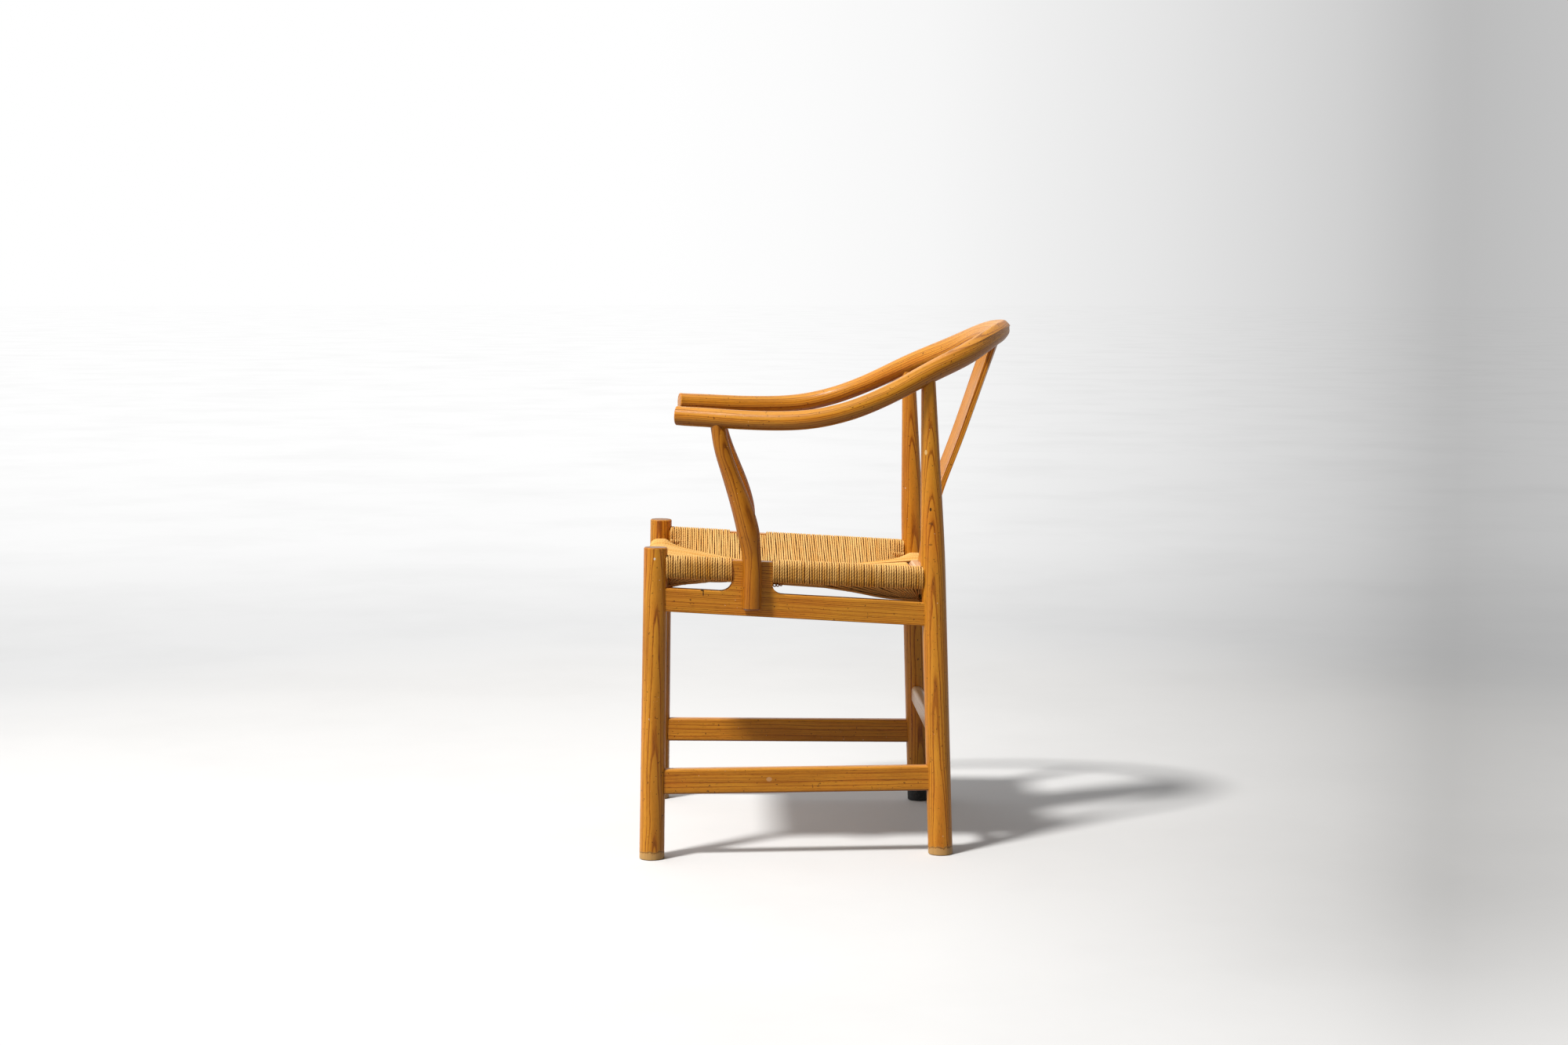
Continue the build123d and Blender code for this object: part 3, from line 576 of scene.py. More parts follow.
def steelMaterial():
    # Drawn steel wire, dull from handling
    material, tree = newMaterial("drawnSteel")
    add = partial(addNode, tree)
    spot = add("NewGeometry")["Position"]
    noise = {"Vector": spot, "Scale": cells(smallValues["steelSpot"])[0], "Detail": 3.0}
    smooth, dull = smallValues["steelRoughness"]
    rough = add("MapRange", {"Value": add("TexNoise", noise)[0], "To Min": smooth, "To Max": dull})[0]
    wire = {"Base Color": hexColour(smallValues["steel"]), "Metallic": 1.0, "Roughness": rough}
    add("OutputMaterial", {"Surface": add("BsdfPrincipled", wire)[0]})
    return material


def beechMaterial():
    # Turned beech, raw: fine short flecks
    material, tree = newMaterial("turnedBeech")
    add = partial(addNode, tree)
    spot = add("NewGeometry")["Position"]
    along, across = smallValues["fleckSize"]
    long = add("VectorMath", {0: spot, 1: cells(along, across, across)}, operation="MULTIPLY")[0]
    fleck = add("TexNoise", {"Vector": long, "Scale": 1.0, "Detail": 2.0})[0]
    tint = {mixShare: fleck, mixFirst: hexColour(smallValues["beech"]),
            mixSecond: hexColour(smallValues["beechFleck"])}
    tint = add("Mix", tint, data_type="RGBA")[mixColour]
    dowel = {"Base Color": tint, "Roughness": smallValues["beechRoughness"]}
    add("OutputMaterial", {"Surface": add("BsdfPrincipled", dowel)[0]})
    return material


def rubberMaterial():
    # Moulded rubber: matt black, greyed by dust
    material, tree = newMaterial("mouldedRubber")
    add = partial(addNode, tree)
    spot = add("NewGeometry")["Position"]
    noise = {"Vector": spot, "Scale": cells(smallValues["dustSize"])[0], "Detail": 5.0, "Roughness": 0.65}
    dust = add("TexNoise", noise)[0]
    low, high = smallValues["dustEdges"]
    patch = {"Value": dust, "From Min": low, "From Max": high, "To Max": smallValues["dustiness"]}
    tint = {mixShare: add("MapRange", patch)[0], mixFirst: hexColour(smallValues["rubber"]),
            mixSecond: hexColour(smallValues["dust"])}
    tint = add("Mix", tint, data_type="RGBA")[mixColour]
    relief = {"Strength": 0.5, "Distance": smallValues["rubberRelief"] / 1000, "Height": dust}
    cap = {"Base Color": tint, "Roughness": smallValues["rubberRoughness"], "IOR": 1.52,
           "Normal": add("Bump", relief)[0]}
    add("OutputMaterial", {"Surface": add("BsdfPrincipled", cap)[0]})
    return material


dress(nodes["cord_tacks"], steelMaterial())
dress(nodes["arm_post_dowels"], beechMaterial())
dress(nodes["right_rear_foot_cap"], rubberMaterial())
print("small parts are dressed")


# Woven seat

cordValues = {
    "straw": "#F7C97C",
    "drift": "#DC9838",
    "paintedGrooveShade": "#8A5016",
    "paintedCreviceShade": "#94581A",     # painted shade where two cords touch
    "ply": 4.4,               # from one ply of the twist to the next
    "plies": 3.0,
    "grooveWidth": 0.16,      # of a ply
    "grooveStrength": 0.4,
    "creaseSize": 3.846,      # along the cord, and how many creases there are round it
    "creasesAround": 14,
    "patchSize": 38.46,       # of older and newer paper
    "patchGain": (0.8, -0.32),
    "toneGain": 0.5,
    "driftShare": 0.8,
    # Sideways part of the surface where the painted crevice shade starts and where it is full, and its
    # strength
    "paintedFlankShade": (0.45, 0.95, 0.85),
    "twistDepth": 0.3,
    "creaseRelief": 0.3,
    "roughness": 0.82,
    "gloss": 0.2,
    "fuzz": 0.04,
}


def cordMaterial():
    # Twisted kraft paper, calendered: matt straw, with a dark line of painted shade where two plies meet
    material, tree = newMaterial("twistedPaperCord")
    add = partial(addNode, tree)
    lay = add("UVMap", uv_map="lay")[0]
    axes = add("SeparateXYZ", {0: lay})
    turn = add("Math", {0: axes["Y"], 1: cordValues["plies"]}, operation="MULTIPLY")[0]
    run = add("Math", {0: axes["X"], 1: cordValues["ply"] / 1000}, operation="DIVIDE")[0]
    phase = add("Math", {0: run, 1: turn}, operation="SUBTRACT")[0]
    ply = add("Math", {0: phase, 1: 0.5}, operation="PINGPONG")[0]
    groove = {"Value": ply, "From Min": cordValues["grooveWidth"], "From Max": 0.0}
    groove = add("MapRange", groove, interpolation_type="SMOOTHSTEP")[0]
    crown = {"Value": ply, "From Min": 0.0, "From Max": 0.5}
    crown = add("MapRange", crown, interpolation_type="SMOOTHSTEP")[0]

    # Paper that has aged darker in patches, and cord by cord; the tone also carries painted shade on the
    # outer lower side of the side wraps and on some groups of cross cords
    spot = add("NewGeometry")["Position"]
    patch = {"Vector": spot, "Scale": cells(cordValues["patchSize"])[0], "Detail": 3.0}
    gain, least = cordValues["patchGain"]
    shade = add("Math", {0: add("TexNoise", patch)[0], 1: gain, 2: least}, operation="MULTIPLY_ADD")[0]
    tone = add("Attribute", attribute_name="tone")["Fac"]
    shade = add("Math", {0: tone, 1: cordValues["toneGain"], 2: shade}, operation="MULTIPLY_ADD")[0]
    shade = add("Math", {0: shade, 1: cordValues["driftShare"]}, operation="MULTIPLY", use_clamp=True)[0]
    # Painted shade in the grooves between the plies
    lines = add("Math", {0: groove, 1: cordValues["grooveStrength"]}, operation="MULTIPLY")[0]

    # Painted shade on the flanks, where the next cord lies close
    around = add("Math", {0: axes["Y"], 1: 2 * math.pi}, operation="MULTIPLY")[0]
    sideways = add("Math", {0: around}, operation="SINE")[0]
    sideways = add("Math", {0: sideways}, operation="ABSOLUTE")[0]
    low, high, strength = cordValues["paintedFlankShade"]
    paintedFlankShade = {"Value": sideways, "From Min": low, "From Max": high, "To Max": strength}
    paintedFlankShade = add("MapRange", paintedFlankShade, interpolation_type="SMOOTHSTEP")[0]
    body = hexColour(cordValues["straw"])
    for share, colour in ((shade, "drift"), (lines, "paintedGrooveShade"), (paintedFlankShade, "paintedCreviceShade")):
        mixed = {mixShare: share, mixFirst: body, mixSecond: hexColour(cordValues[colour])}
        body = add("Mix", mixed, data_type="RGBA")[mixColour]

    size = cells(cordValues["creaseSize"]) + (cordValues["creasesAround"], 1)
    creases = add("VectorMath", {0: lay, 1: size}, operation="MULTIPLY")[0]
    creases = add("TexNoise", {"Vector": creases, "Scale": 1.0, "Detail": 4.0, "Roughness": 0.6})[0]
    relief = {0: creases, 1: cordValues["creaseRelief"], 2: crown}
    relief = add("Math", relief, operation="MULTIPLY_ADD")[0]
    bump = {"Strength": 0.9, "Distance": cordValues["twistDepth"] / 1000, "Height": relief}
    paper = {"Base Color": body, "Roughness": cordValues["roughness"],
             "Specular IOR Level": cordValues["gloss"], "Sheen Weight": cordValues["fuzz"],
             "Sheen Roughness": 0.5, "Normal": add("Bump", bump)[0]}
    add("OutputMaterial", {"Surface": add("BsdfPrincipled", paper)[0]})
    return material


seatValues = {
    "diameter": 3.4,           # of the cord
    "clearance": 0.2,          # between the cord and the wood
    "stripHalf": 36.0,         # the seams of the four fields end here, in a strip across the middle
    "stripDepth": 215.0,
    "cornerIn": 13.2,          # from a side bar's middle to the corner where a seam starts
    "cornerDepths": {"front": 24.8, "rear": 404.0},
    "sides": 8,                # of a tube
    "thickness": (0.98, 1.06),  # shares of the diameter
    "slack": 0.3,              # that a cord strays
    "slackWaves": (1.5, 4),
    "aging": 1.6,              # most cords stay pale
    "runStep": 9.0,            # about one piece of a straight run
    "arcStep": 18,             # degrees
    "seeds": {"left": 12, "right": 10, "front": 46, "rear": 39},
}
cordRadius = seatValues["diameter"] / 2


barValues = {
    "sideWood": {"halfWidth": 11.0, "halfHeight": 14.0, "corner": 8.0},
    "crossWood": {"halfWidth": 14.0, "halfHeight": 14.0, "corner": 9.0},
    "crest": 459.5,            # height of the cord over a side bar at the front feet, and its fall backwards
    "fall": 0.0528,
    "sideX": (233.145, 7.235),  # middle of a side bar at a depth, and how it comes in backwards
    "taper": 0.060913,
    "drop": 17.6,              # from the crest to the axis of a side bar
    "frontRail": (6.64, 422.02),  # depth and height of the axis
    "rearRail": (425.23, 400.04),
}


def wovenBar(wood):
    # The section of a bar, grown to the middle of the cord round it
    return {part: size + seatValues["clearance"] + cordRadius for part, size in wood.items()}


sideBar = wovenBar(barValues["sideWood"])
crossBar = wovenBar(barValues["crossWood"])


def crestZ(depth):
    return barValues["crest"] - barValues["fall"] * depth


def sideBarX(depth):
    middle, at = barValues["sideX"]
    return middle - barValues["taper"] * (depth - at)


def heightAt(stations, depth):
    return float(np.interp(depth, [a for a, _ in stations], [b for _, b in stations]))


# Depth and height of the weave's surface along its seams
upperSeam = [(22, 426.5), (27, 425), (42, 422), (87, 417.5), (122, 416), (215, 410), (300, 406), (384, 405),
             (404, 409), (412, 411)]
lowerSeam = [(22, 405.5), (42, 409), (98, 408.5), (150, 402), (187, 397), (215, 394), (270, 390.5),
             (341, 385), (404, 383), (412, 383)]
# Lower outline of the cords in the slots, in the plane of the first cord beside the bar
slotLine = [(22, 408.6), (30, 408.8), (60, 412.8), (85, 414.6), (122, 414.8), (181, 411.3), (194, 411.0),
            (237, 408.2), (270, 403.1), (305, 396.7), (340, 389.7), (359, 386.7), (404, 382.1), (412, 381.6)]
seamCorners = {end: (sideBarX(depth) - seatValues["cornerIn"], depth)
               for end, depth in seatValues["cornerDepths"].items()}


def seamX(depth):
    # Half width between the corner seams at a depth
    middle, half = seatValues["stripDepth"], seatValues["stripHalf"]
    cornerX, cornerDepth = seamCorners["front" if depth < middle else "rear"]
    return half + (cornerX - half) * (depth - middle) / (cornerDepth - middle)


def seamDepth(x, end):
    # The inverse of seamX, for a cord that runs front to back
    middle, half = seatValues["stripDepth"], seatValues["stripHalf"]
    cornerX, cornerDepth = seamCorners[end]
    return middle + (cornerDepth - middle) * max(0.0, (abs(x) - half) / (cornerX - half))


def tangentTurn(spot, centre, radius):
    # Angle where a straight run from a spot meets a corner's arc from above
    across, up = spot[0] - centre[0], spot[1] - centre[1]
    angle = math.degrees(math.atan2(up, across)) % 360
    return angle - math.degrees(math.acos(min(1.0, radius / math.hypot(across, up))))


def straightRun(start, end):
    steps = max(1, round(math.dist(start, end) / seatValues["runStep"]))
    return [tuple(a + (b - a) * step / steps for a, b in zip(start, end)) for step in range(steps + 1)]


def wrapRound(bar, start, end):
    # Path round a bar in its section, from the upper run to the lower one
    wide, high, corner = bar["halfWidth"], bar["halfHeight"], bar["corner"]
    inner, outer = corner - wide, wide - corner
    first = tangentTurn(start, (inner, high - corner), corner)
    last = -tangentTurn((end[0], -end[1]), (inner, high - corner), corner)
    arcs = [(inner, high - corner, first, 90), (outer, high - corner, 90, 0), (outer, corner - high, 0, -90),
            (inner, corner - high, -90, last)]
    path = []
    for across, up, turnFrom, turnTo in arcs:
        steps = max(2, round(abs(turnTo - turnFrom) / seatValues["arcStep"]))
        for step in range(steps + 1):
            angle = math.radians(turnFrom + (turnTo - turnFrom) * step / steps)
            path.append((across + corner * math.cos(angle), up + corner * math.sin(angle)))
    return straightRun(start, path[0])[:-1] + path + straightRun(path[-1], end)[1:]


hookValues = {"bend": 4.0, "share": 0.45, "steps": 4}  # radius of a bend, and the most of a run that it takes


def hookRound(bend, pin, start, end):
    # Path over a bend, down to a tack and back inwards
    path = [start, bend, pin, end]
    rounded = [start]
    for before, corner, after in zip(path, path[1:], path[2:]):
        arrive = np.array(before) - corner
        leave = np.array(after) - corner
        longest = min(np.linalg.norm(arrive), np.linalg.norm(leave)) * hookValues["share"]
        radius = min(hookValues["bend"], longest)
        arrive *= radius / np.linalg.norm(arrive)
        leave *= radius / np.linalg.norm(leave)
        for step in range(hookValues["steps"] + 1):
            t = step / hookValues["steps"]
            rounded.append(tuple(np.array(corner) + arrive * (1 - t) ** 2 + leave * t ** 2))
    rounded.append(end)
    whole = []
    for a, b in zip(rounded, rounded[1:]):
        whole += straightRun(a, b)[:-1]
    return whole + [end]


dipShape = (0.5, 0.35)  # how far along a dip its middle point lies, and how much of its depth it has


def dipped(run, length, sink):
    # Lets the start of a run go down between the cords that cross it
    last, before = np.array(run[0]), np.array(run[1])
    ahead = (last - before) / np.linalg.norm(last - before) * length
    near = last + ahead * dipShape[0] + np.array((0, sink * dipShape[1]))
    far = last + ahead + np.array((0, sink))
    return [tuple(far), tuple(near)] + list(run)


def dippedEnds(run, length, upperSink, lowerSink):
    run = dipped(run, length, -upperSink)
    return dipped(run[::-1], length, lowerSink)[::-1]


def addToSeat(name, mesh):
    made = bpy.data.objects.new(name, mesh)
    bpy.context.scene.collection.objects.link(made)
    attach(made, "root")
    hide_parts("woven_seat")


class CordBundle:
    # Gathers tubes, then makes them one mesh

    def __init__(self, end):
        self.name, self.random = "cords_" + end, random.Random(seatValues["seeds"][end])
        self.points, self.faces, self.lay, self.tones = [], [], [], []

    def add(self, path, plane, radius=cordRadius, aged=0.0, browned=0.0):
        # A tube along a path that strays along the plane's normal. Its lay is its run in metres, and its turn
        chance, sides = self.random, seatValues["sides"]
        path, plane = np.array(path, float), np.array(plane, float)
        radius *= chance.uniform(*seatValues["thickness"])
        tone, shift = aged + chance.random() ** seatValues["aging"], chance.uniform(0, 1)
        path = path + plane * chance.uniform(-0.5, 0.5) * seatValues["slack"]
        phase, waves = chance.uniform(0, 2 * math.pi), chance.uniform(*seatValues["slackWaves"])
        wave = np.sin(np.linspace(0, 1, len(path)) * waves * 2 * math.pi + phase)
        path = path + plane * (seatValues["slack"] * wave)[:, None]
        ahead = np.gradient(path, axis=0)
        ahead /= np.linalg.norm(ahead, axis=1)[:, None]
        out = np.cross(ahead, plane)
        out /= np.linalg.norm(out, axis=1)[:, None]
        beside = np.cross(ahead, out)
        steps = np.linalg.norm(np.diff(path, axis=0), axis=1)
        runs = np.concatenate([[0], np.cumsum(steps)]) / 1000 + shift
        angles = np.arange(sides) * 2 * math.pi / sides
        ring = out[:, None, :] * np.cos(angles)[None, :, None]
        ring = ring + beside[:, None, :] * np.sin(angles)[None, :, None]
        first = sum(len(p) for p in self.points)
        self.points.append((path[:, None, :] + ring * radius).reshape(-1, 3))
        # The tone carries painted shade where it is given
        self.tones.append(np.repeat(np.full(len(path), tone) + browned, sides))
        for row in range(len(path) - 1):
            low, high = first + row * sides, first + (row + 1) * sides
            for side in range(sides):
                after = (side + 1) % sides
                self.faces.append((low + side, low + after, high + after, high + side))
                a, b = side / sides, (side + 1) / sides
                self.lay += [(runs[row], a), (runs[row], b), (runs[row + 1], b), (runs[row + 1], a)]
        last = first + (len(path) - 1) * sides
        for start, order in ((first, range(sides - 1, -1, -1)), (last, range(sides))):
            self.faces.append(tuple(start + side for side in order))
            self.lay += [(runs[0], 0.0)] * sides

    def finish(self, material):
        mesh = bpy.data.meshes.new(self.name)
        mesh.from_pydata(inFrame(np.concatenate(self.points)).tolist(), [], self.faces)
        layer = mesh.uv_layers.new(name="lay")
        layer.data.foreach_set("uv", np.array(self.lay, np.float32).ravel())
        attribute = mesh.attributes.new("tone", "FLOAT", "POINT")
        attribute.data.foreach_set("value", np.concatenate(self.tones).astype(np.float32))
        mesh.polygons.foreach_set("use_smooth", [True] * len(self.faces))
        mesh.materials.append(material)
        addToSeat(self.name, mesh)


sideWrapValues = {
    "pitch": 3.72,             # from one wrap to the next
    # Depths where a section starts and ends. Behind the block the cords hook over it and down to tacks
    "sections": [(22.4, 121.7, "wrap"), (121.7, 181.3, "hook"), (181.3, 409.0, "wrap")],
    "gap": 0.05,               # beside the bar
    "upperStray": 0.3,
    "lowerStray": 0.5,
    "under": (4.0, 1.2),       # inwards and up, where a wrap leaves the bar's underside
    "knee": (20.0, 0.5),       # inwards and up, where the lower run leaves room for the long cords
    "kneeRoom": 1.0,           # between the knee and the seam, where there is a knee
    "shortTail": (2.0, 4.0),   # inwards and up, where there is no room for a knee
    "hookBend": (0.2, 12.8),   # beside the bar, and above its axis
    "hookPin": (0.4, -38.5),
    "dip": (5.0, 3.4),         # length and depth of the dip at each end
    "cornerDip": 6.0,          # added near the corners, to this far from them
    "cornerReach": 25.0,
    "lowerSideShade": 1.3,            # painted shade on the outer and lower side: its strength, from this height down over this much
    "lowerSideShadeFrom": (13.0, 12.0),
    "lowerSideShadeIn": 12.0,         # inwards, where it ends
}


def sideWraps(bundle, side, start, end, kind):
    values, chance = sideWrapValues, bundle.random
    count = round((end - start) / values["pitch"])
    pitch = (end - start) / count
    beside = -sideBar["halfWidth"]
    limit = beside - values["gap"]
    dipLength, dip = values["dip"]
    for index in range(count):
        depth = start + (index + 0.5) * pitch
        axisX, axisZ = sideBarX(depth), crestZ(depth) - barValues["drop"]
        inner = min(limit, seamX(depth) - axisX)
        upperStray = chance.uniform(-values["upperStray"], values["upperStray"])
        lowerStray = chance.uniform(-values["lowerStray"], values["lowerStray"])
        upper = (inner, heightAt(upperSeam, depth) - cordRadius - axisZ + upperStray)
        lower = (inner, heightAt(lowerSeam, depth) + cordRadius - axisZ + lowerStray)
        if kind == "hook":
            bend = (beside - values["hookBend"][0], values["hookBend"][1])
            pin = (beside - values["hookPin"][0], values["hookPin"][1])
            run = hookRound(bend, pin, upper, lower)
        else:
            kneeIn, kneeUp = values["knee"]
            knee = (limit - kneeIn, heightAt(slotLine, depth) - axisZ + cordRadius + kneeUp)
            under = (limit - values["under"][0], values["under"][1] - sideBar["halfHeight"])
            run = wrapRound(sideBar, upper, under)
            if lower[0] < knee[0] - values["kneeRoom"]:
                run += straightRun(under, knee)[1:] + straightRun(knee, lower)[1:]
            else:
                tail = (under[0] - values["shortTail"][0], under[1] + values["shortTail"][1])
                run += straightRun(under, tail)[1:]
        nearCorner = max(0.0, 1 - (limit - upper[0]) / values["cornerReach"])
        run = dippedEnds(run, dipLength, dip + values["cornerDip"] * nearCorner, dip)
        path = [(side * (axisX + across), depth, axisZ + up) for across, up in run]
        # Painted shade on the outer, lower side of each wrap, carried in the cord's tone
        top, fall = values["lowerSideShadeFrom"]
        browned = [values["lowerSideShade"] * min(1.0, max(0.0, (top - up) / fall))
                   if across > -values["lowerSideShadeIn"] else 0.0 for across, up in run]
        bundle.add(path, toBack, browned=np.array(browned))


# Cords from rail to rail that show in the slots: depths where each leaves the side bar and where it ends
slotCordValues = {
    "edge": [(408, 186), (409, 186), (410, 186), (22, 113), (22, 113), (22, 113)],
    "edgeIn": (15.0, 3.5),      # from the middle of the bar to the first of three, and the step to the next
    "edgeUp": 0.4,
    "long": [
        [(397, 404), (391, 403.5), (385, 402.5), (379, 401), (372, 399.5), (364, 397.5), (355, 394),
         (345, 390), (333, 385), (319, 378), (303, 369), (284, 356), (262, 339), (240, 318), (220, 296),
         (204, 272), (194, 246), (190, 222)],
        [(30, 24.5), (35, 25), (41, 26), (48, 27.5), (56, 30), (65, 34), (76, 40), (88, 50), (99, 62),
         (107, 78), (112, 94)],
    ],
    "startIn": (9.0, 0.3),      # from the middle of the bar to where the first one starts, and the step
    "startDown": 1.2,
    "endIn": (17.0, 0.5),
    "endUp": 0.5,
    "stray": 0.5,
    "lead": (9.0, (-3.0, 0.0, 7.0)),  # length of each end that turns up into the weave, and how it turns
    "tail": (7.0, (-5.0, 0.0, 4.0)),
}


def edgeCords(bundle, side):
    first, step = slotCordValues["edgeIn"]
    for index, (start, end) in enumerate(slotCordValues["edge"]):
        inward = first + step * (index % 3)
        up = cordRadius + slotCordValues["edgeUp"] * (index % 3)
        steps = round(abs(end - start) / seatValues["runStep"])
        depths = [start + (end - start) * step / steps for step in range(steps + 1)]
        path = [(side * (sideBarX(d) - inward), d, heightAt(slotLine, d) + up) for d in depths]
        bundle.add(path, upward)


def longCords(bundle, side, cords):
    values = slotCordValues
    for index, (start, end) in enumerate(cords):
        stray = bundle.random.uniform(-values["stray"], values["stray"])
        startIn, endIn = (first + step * index for first, step in (values["startIn"], values["endIn"]))
        under = crestZ(start) - barValues["drop"] - sideBar["halfHeight"] - values["startDown"] + stray
        over = heightAt(slotLine, end) + cordRadius + values["endUp"] + stray
        starts = np.array((sideBarX(start) - startIn, start, under))
        run = np.array((sideBarX(end) - endIn, end, over)) - starts
        length = np.linalg.norm(run)
        (leadLength, leadTurn), (tailLength, tailTurn) = values["lead"], values["tail"]
        lead = starts - run / length * leadLength + leadTurn
        tail = starts + run + run / length * tailLength + tailTurn
        steps = max(3, round(length / seatValues["runStep"]))
        path = [lead] + [starts + run * step / steps for step in range(steps + 1)] + [tail]
        bundle.add([(side * x, y, z) for x, y, z in path], upward)


# Loose ends of cord that hang out of the left rear slot behind the block: place, depth, height and size
knotValues = {
    "places": [(214.0, 185.0, 410.8, 2.4), (214.0, 189.8, 410.4, 1.9), (214.0, 194.6, 411.0, 1.6)],
    "steps": 12,
    "turn": 40,                # degrees and millimetres from one step of a curl to the next
    "rise": 0.25,
    "radius": 0.9,
    "aged": 3.0,
}


def looseKnots(bundle):
    for x, depth, z, size in knotValues["places"]:
        curl = []
        for step in range(knotValues["steps"]):
            angle = math.radians(knotValues["turn"] * step)
            back, up = size * math.cos(angle), size * math.sin(angle)
            curl.append((x + knotValues["rise"] * step, depth + back, z + up))
        bundle.add(curl, toSide, radius=knotValues["radius"], aged=knotValues["aged"])


def sideCords(end, side, material):
    bundle = CordBundle(end)
    for start, finish, kind in sideWrapValues["sections"]:
        sideWraps(bundle, side, start, finish, kind)
    edgeCords(bundle, side)
    for cords in slotCordValues["long"]:
        longCords(bundle, side, cords)
    if end == "left":
        looseKnots(bundle)
    bundle.finish(material)


crossWrapValues = {
    "pitch": 3.7,
    "reach": {"front": 214.5, "rear": 198.5},  # half lengths of the wraps on the cross rails
    "bareHalf": 74.8,          # bare wood round the foot of the splat
    "gap": 0.05,
    "ridge": (-1.5, 0.4),      # lowest and highest that a group of cords lies, from the seam
    "ridgeCords": (1, 2, 2, 3),
    # darker tones for some groups of cords: painted shade for the dark lines between ridges
    "ridgePaintedShades": (0.0, 0.3, 0.6, 1.3),
    "upperStray": 0.4,
    "lowerStray": 0.5,
    "hookIn": 4.0,             # beside the rail, where cords go down in front of the splat
    "hookDown": 3.4,
    "hookPin": -12.0,
    "dip": (4.0, 3.0),
}


def crossCords(end, material):
    bundle, values = CordBundle(end), crossWrapValues
    chance = bundle.random
    axisDepth, axisZ = barValues[end + "Rail"]
    back = 1 if end == "front" else -1
    reach = values["reach"][end]
    count = round(2 * reach / values["pitch"])
    pitch = 2 * reach / count
    ridges = []
    while len(ridges) < count:
        group = [(chance.uniform(*values["ridge"]), chance.choice(values["ridgePaintedShades"]))]
        ridges += group * chance.choice(values["ridgeCords"])
    face = -crossBar["halfWidth"] - values["hookIn"]
    bend, pin = (face, crossBar["halfHeight"] - values["hookDown"]), (face, values["hookPin"])
    dipLength, dip = values["dip"]
    for index, (ridge, shade) in enumerate(ridges[:count]):
        x = -reach + (index + 0.5) * pitch
        depth = seamDepth(x, end)
        inner = min(-crossBar["halfWidth"] - values["gap"], -abs(depth - axisDepth))
        upperStray = chance.uniform(-values["upperStray"], values["upperStray"])
        lowerStray = chance.uniform(-values["lowerStray"], values["lowerStray"])
        upper = (inner, heightAt(upperSeam, depth) - cordRadius - axisZ + ridge + upperStray)
        lower = (inner, heightAt(lowerSeam, depth) + cordRadius - axisZ + lowerStray)
        if end == "rear" and abs(x) < values["bareHalf"]:
            run = hookRound(bend, pin, upper, lower)
        else:
            run = wrapRound(crossBar, upper, lower)
        run = dippedEnds(run, dipLength, dip, dip)
        path = [(x, axisDepth - back * across, axisZ + up) for across, up in run]
        # The darker groups of cords are painted shade
        bundle.add(path, toSide, aged=shade)
    bundle.finish(material)


stuffingValues = {
    "kraft": "#B88A52",
    "kraftFold": "#8A6234",
    "creaseSize": 5.556,
    "roughness": 0.9,
    "steps": 16,               # rows from a corner to the middle
    "corner": 0.14,            # share of the way from a corner to the middle that is left empty
    "sideIn": 24.0,            # from the axis of a side bar, and of a cross rail, to the rim
    "crossIn": 24.0,
    "hubRise": 0.9,            # share of the rim's rise that the middle field has
    # Heights: of the surface from the seam, of its rim from the crest of the side bars, and of its rim from
    # the axis of the cross rails
    "upper": (-4.6, -9.5, 7.0),
    "lower": (4.6, -30.0, -9.0),
}


def stuffingMaterial():
    # Folded kraft paper packed between the layers: brown, creased and never in the light
    material, tree = newMaterial("packedKraftPaper")
    add = partial(addNode, tree)
    spot = add("NewGeometry")["Position"]
    noise = {"Vector": spot, "Scale": cells(stuffingValues["creaseSize"])[0], "Detail": 5.0, "Roughness": 0.6}
    tint = {mixShare: add("TexNoise", noise)[0], mixFirst: hexColour(stuffingValues["kraft"]),
            mixSecond: hexColour(stuffingValues["kraftFold"])}
    tint = add("Mix", tint, data_type="RGBA")[mixColour]
    paper = {"Base Color": tint, "Roughness": stuffingValues["roughness"]}
    add("OutputMaterial", {"Surface": add("BsdfPrincipled", paper)[0]})
    return material


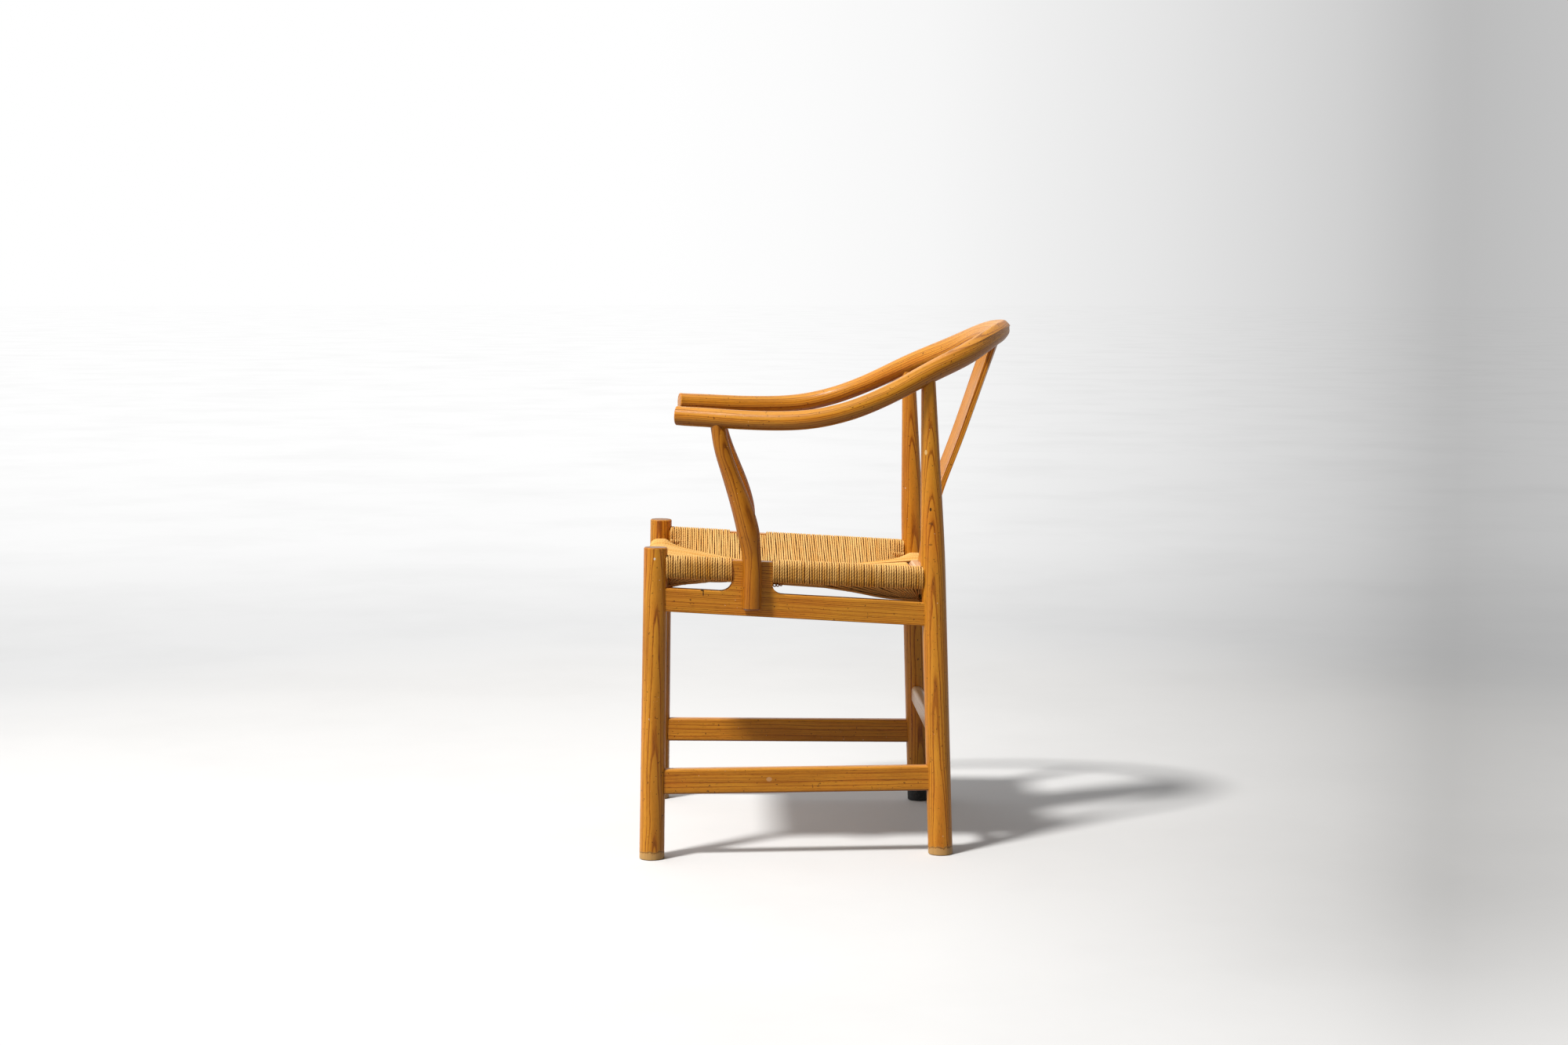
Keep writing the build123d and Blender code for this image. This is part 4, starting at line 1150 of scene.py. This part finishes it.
def addStuffing():
    points, faces = [], []

    def strip(rows, upper):
        # Faces between two lines of points
        for (a, b), (c, d) in zip(rows, rows[1:]):
            first = len(points)
            points.extend((a, b, d, c))
            order = range(first, first + 4)
            faces.append(tuple(order if upper else reversed(order)))

    middle = seatValues["stripDepth"]
    sideWood, crossWood = barValues["sideWood"]["halfWidth"], barValues["crossWood"]["halfWidth"]
    for seam, layer in ((upperSeam, "upper"), (lowerSeam, "lower")):
        upper = layer == "upper"
        shift, sideRim, crossRim = stuffingValues[layer]
        for end, back in (("front", 1), ("rear", -1)):
            axisDepth, axisZ = barValues[end + "Rail"]
            cornerDepth = seamCorners[end][1]
            crossDepth = axisDepth + back * stuffingValues["crossIn"]
            first = cornerDepth + (middle - cornerDepth) * stuffingValues["corner"]
            for side in (1, -1):
                seamLine, sideLine, crossLine = [], [], []
                for d in np.linspace(first, middle, stuffingValues["steps"]):
                    low = heightAt(seam, d) + shift
                    wide = sideBarX(d) - sideWood - seamX(d)
                    long = abs(d - axisDepth) - crossWood
                    sideShare = max(0.0, 1 - (stuffingValues["sideIn"] - sideWood) / wide)
                    crossShare = max(0.0, 1 - (stuffingValues["crossIn"] - crossWood) / long)
                    sideRise = (crestZ(d) + sideRim - low) * sideShare
                    crossRise = (axisZ + crossRim - low) * crossShare
                    seamLine.append((side * seamX(d), d, low))
                    sideLine.append((side * (sideBarX(d) - stuffingValues["sideIn"]), d, low + sideRise))
                    crossLine.append((side * seamX(d), crossDepth, low + crossRise))
                flip = upper == ((end == "front") == (side > 0))
                strip(list(zip(seamLine, sideLine)), flip)
                strip(list(zip(crossLine, seamLine)), flip)
            hub = heightAt(seam, middle) + shift
            rim = hub + (axisZ + crossRim - hub) * stuffingValues["hubRise"]
            halves = (seatValues["stripHalf"], -seatValues["stripHalf"])
            strip([((x, crossDepth, rim), (x, middle, hub)) for x in halves], upper == (end == "front"))
    mesh = bpy.data.meshes.new("seat_stuffing")
    mesh.from_pydata(inFrame(points).tolist(), [], faces)
    mesh.materials.append(stuffingMaterial())
    addToSeat("seat_stuffing", mesh)


cord = cordMaterial()
sideCords("left", 1, cord)
sideCords("right", -1, cord)
crossCords("front", cord)
crossCords("rear", cord)
addStuffing()
print("seat is woven")
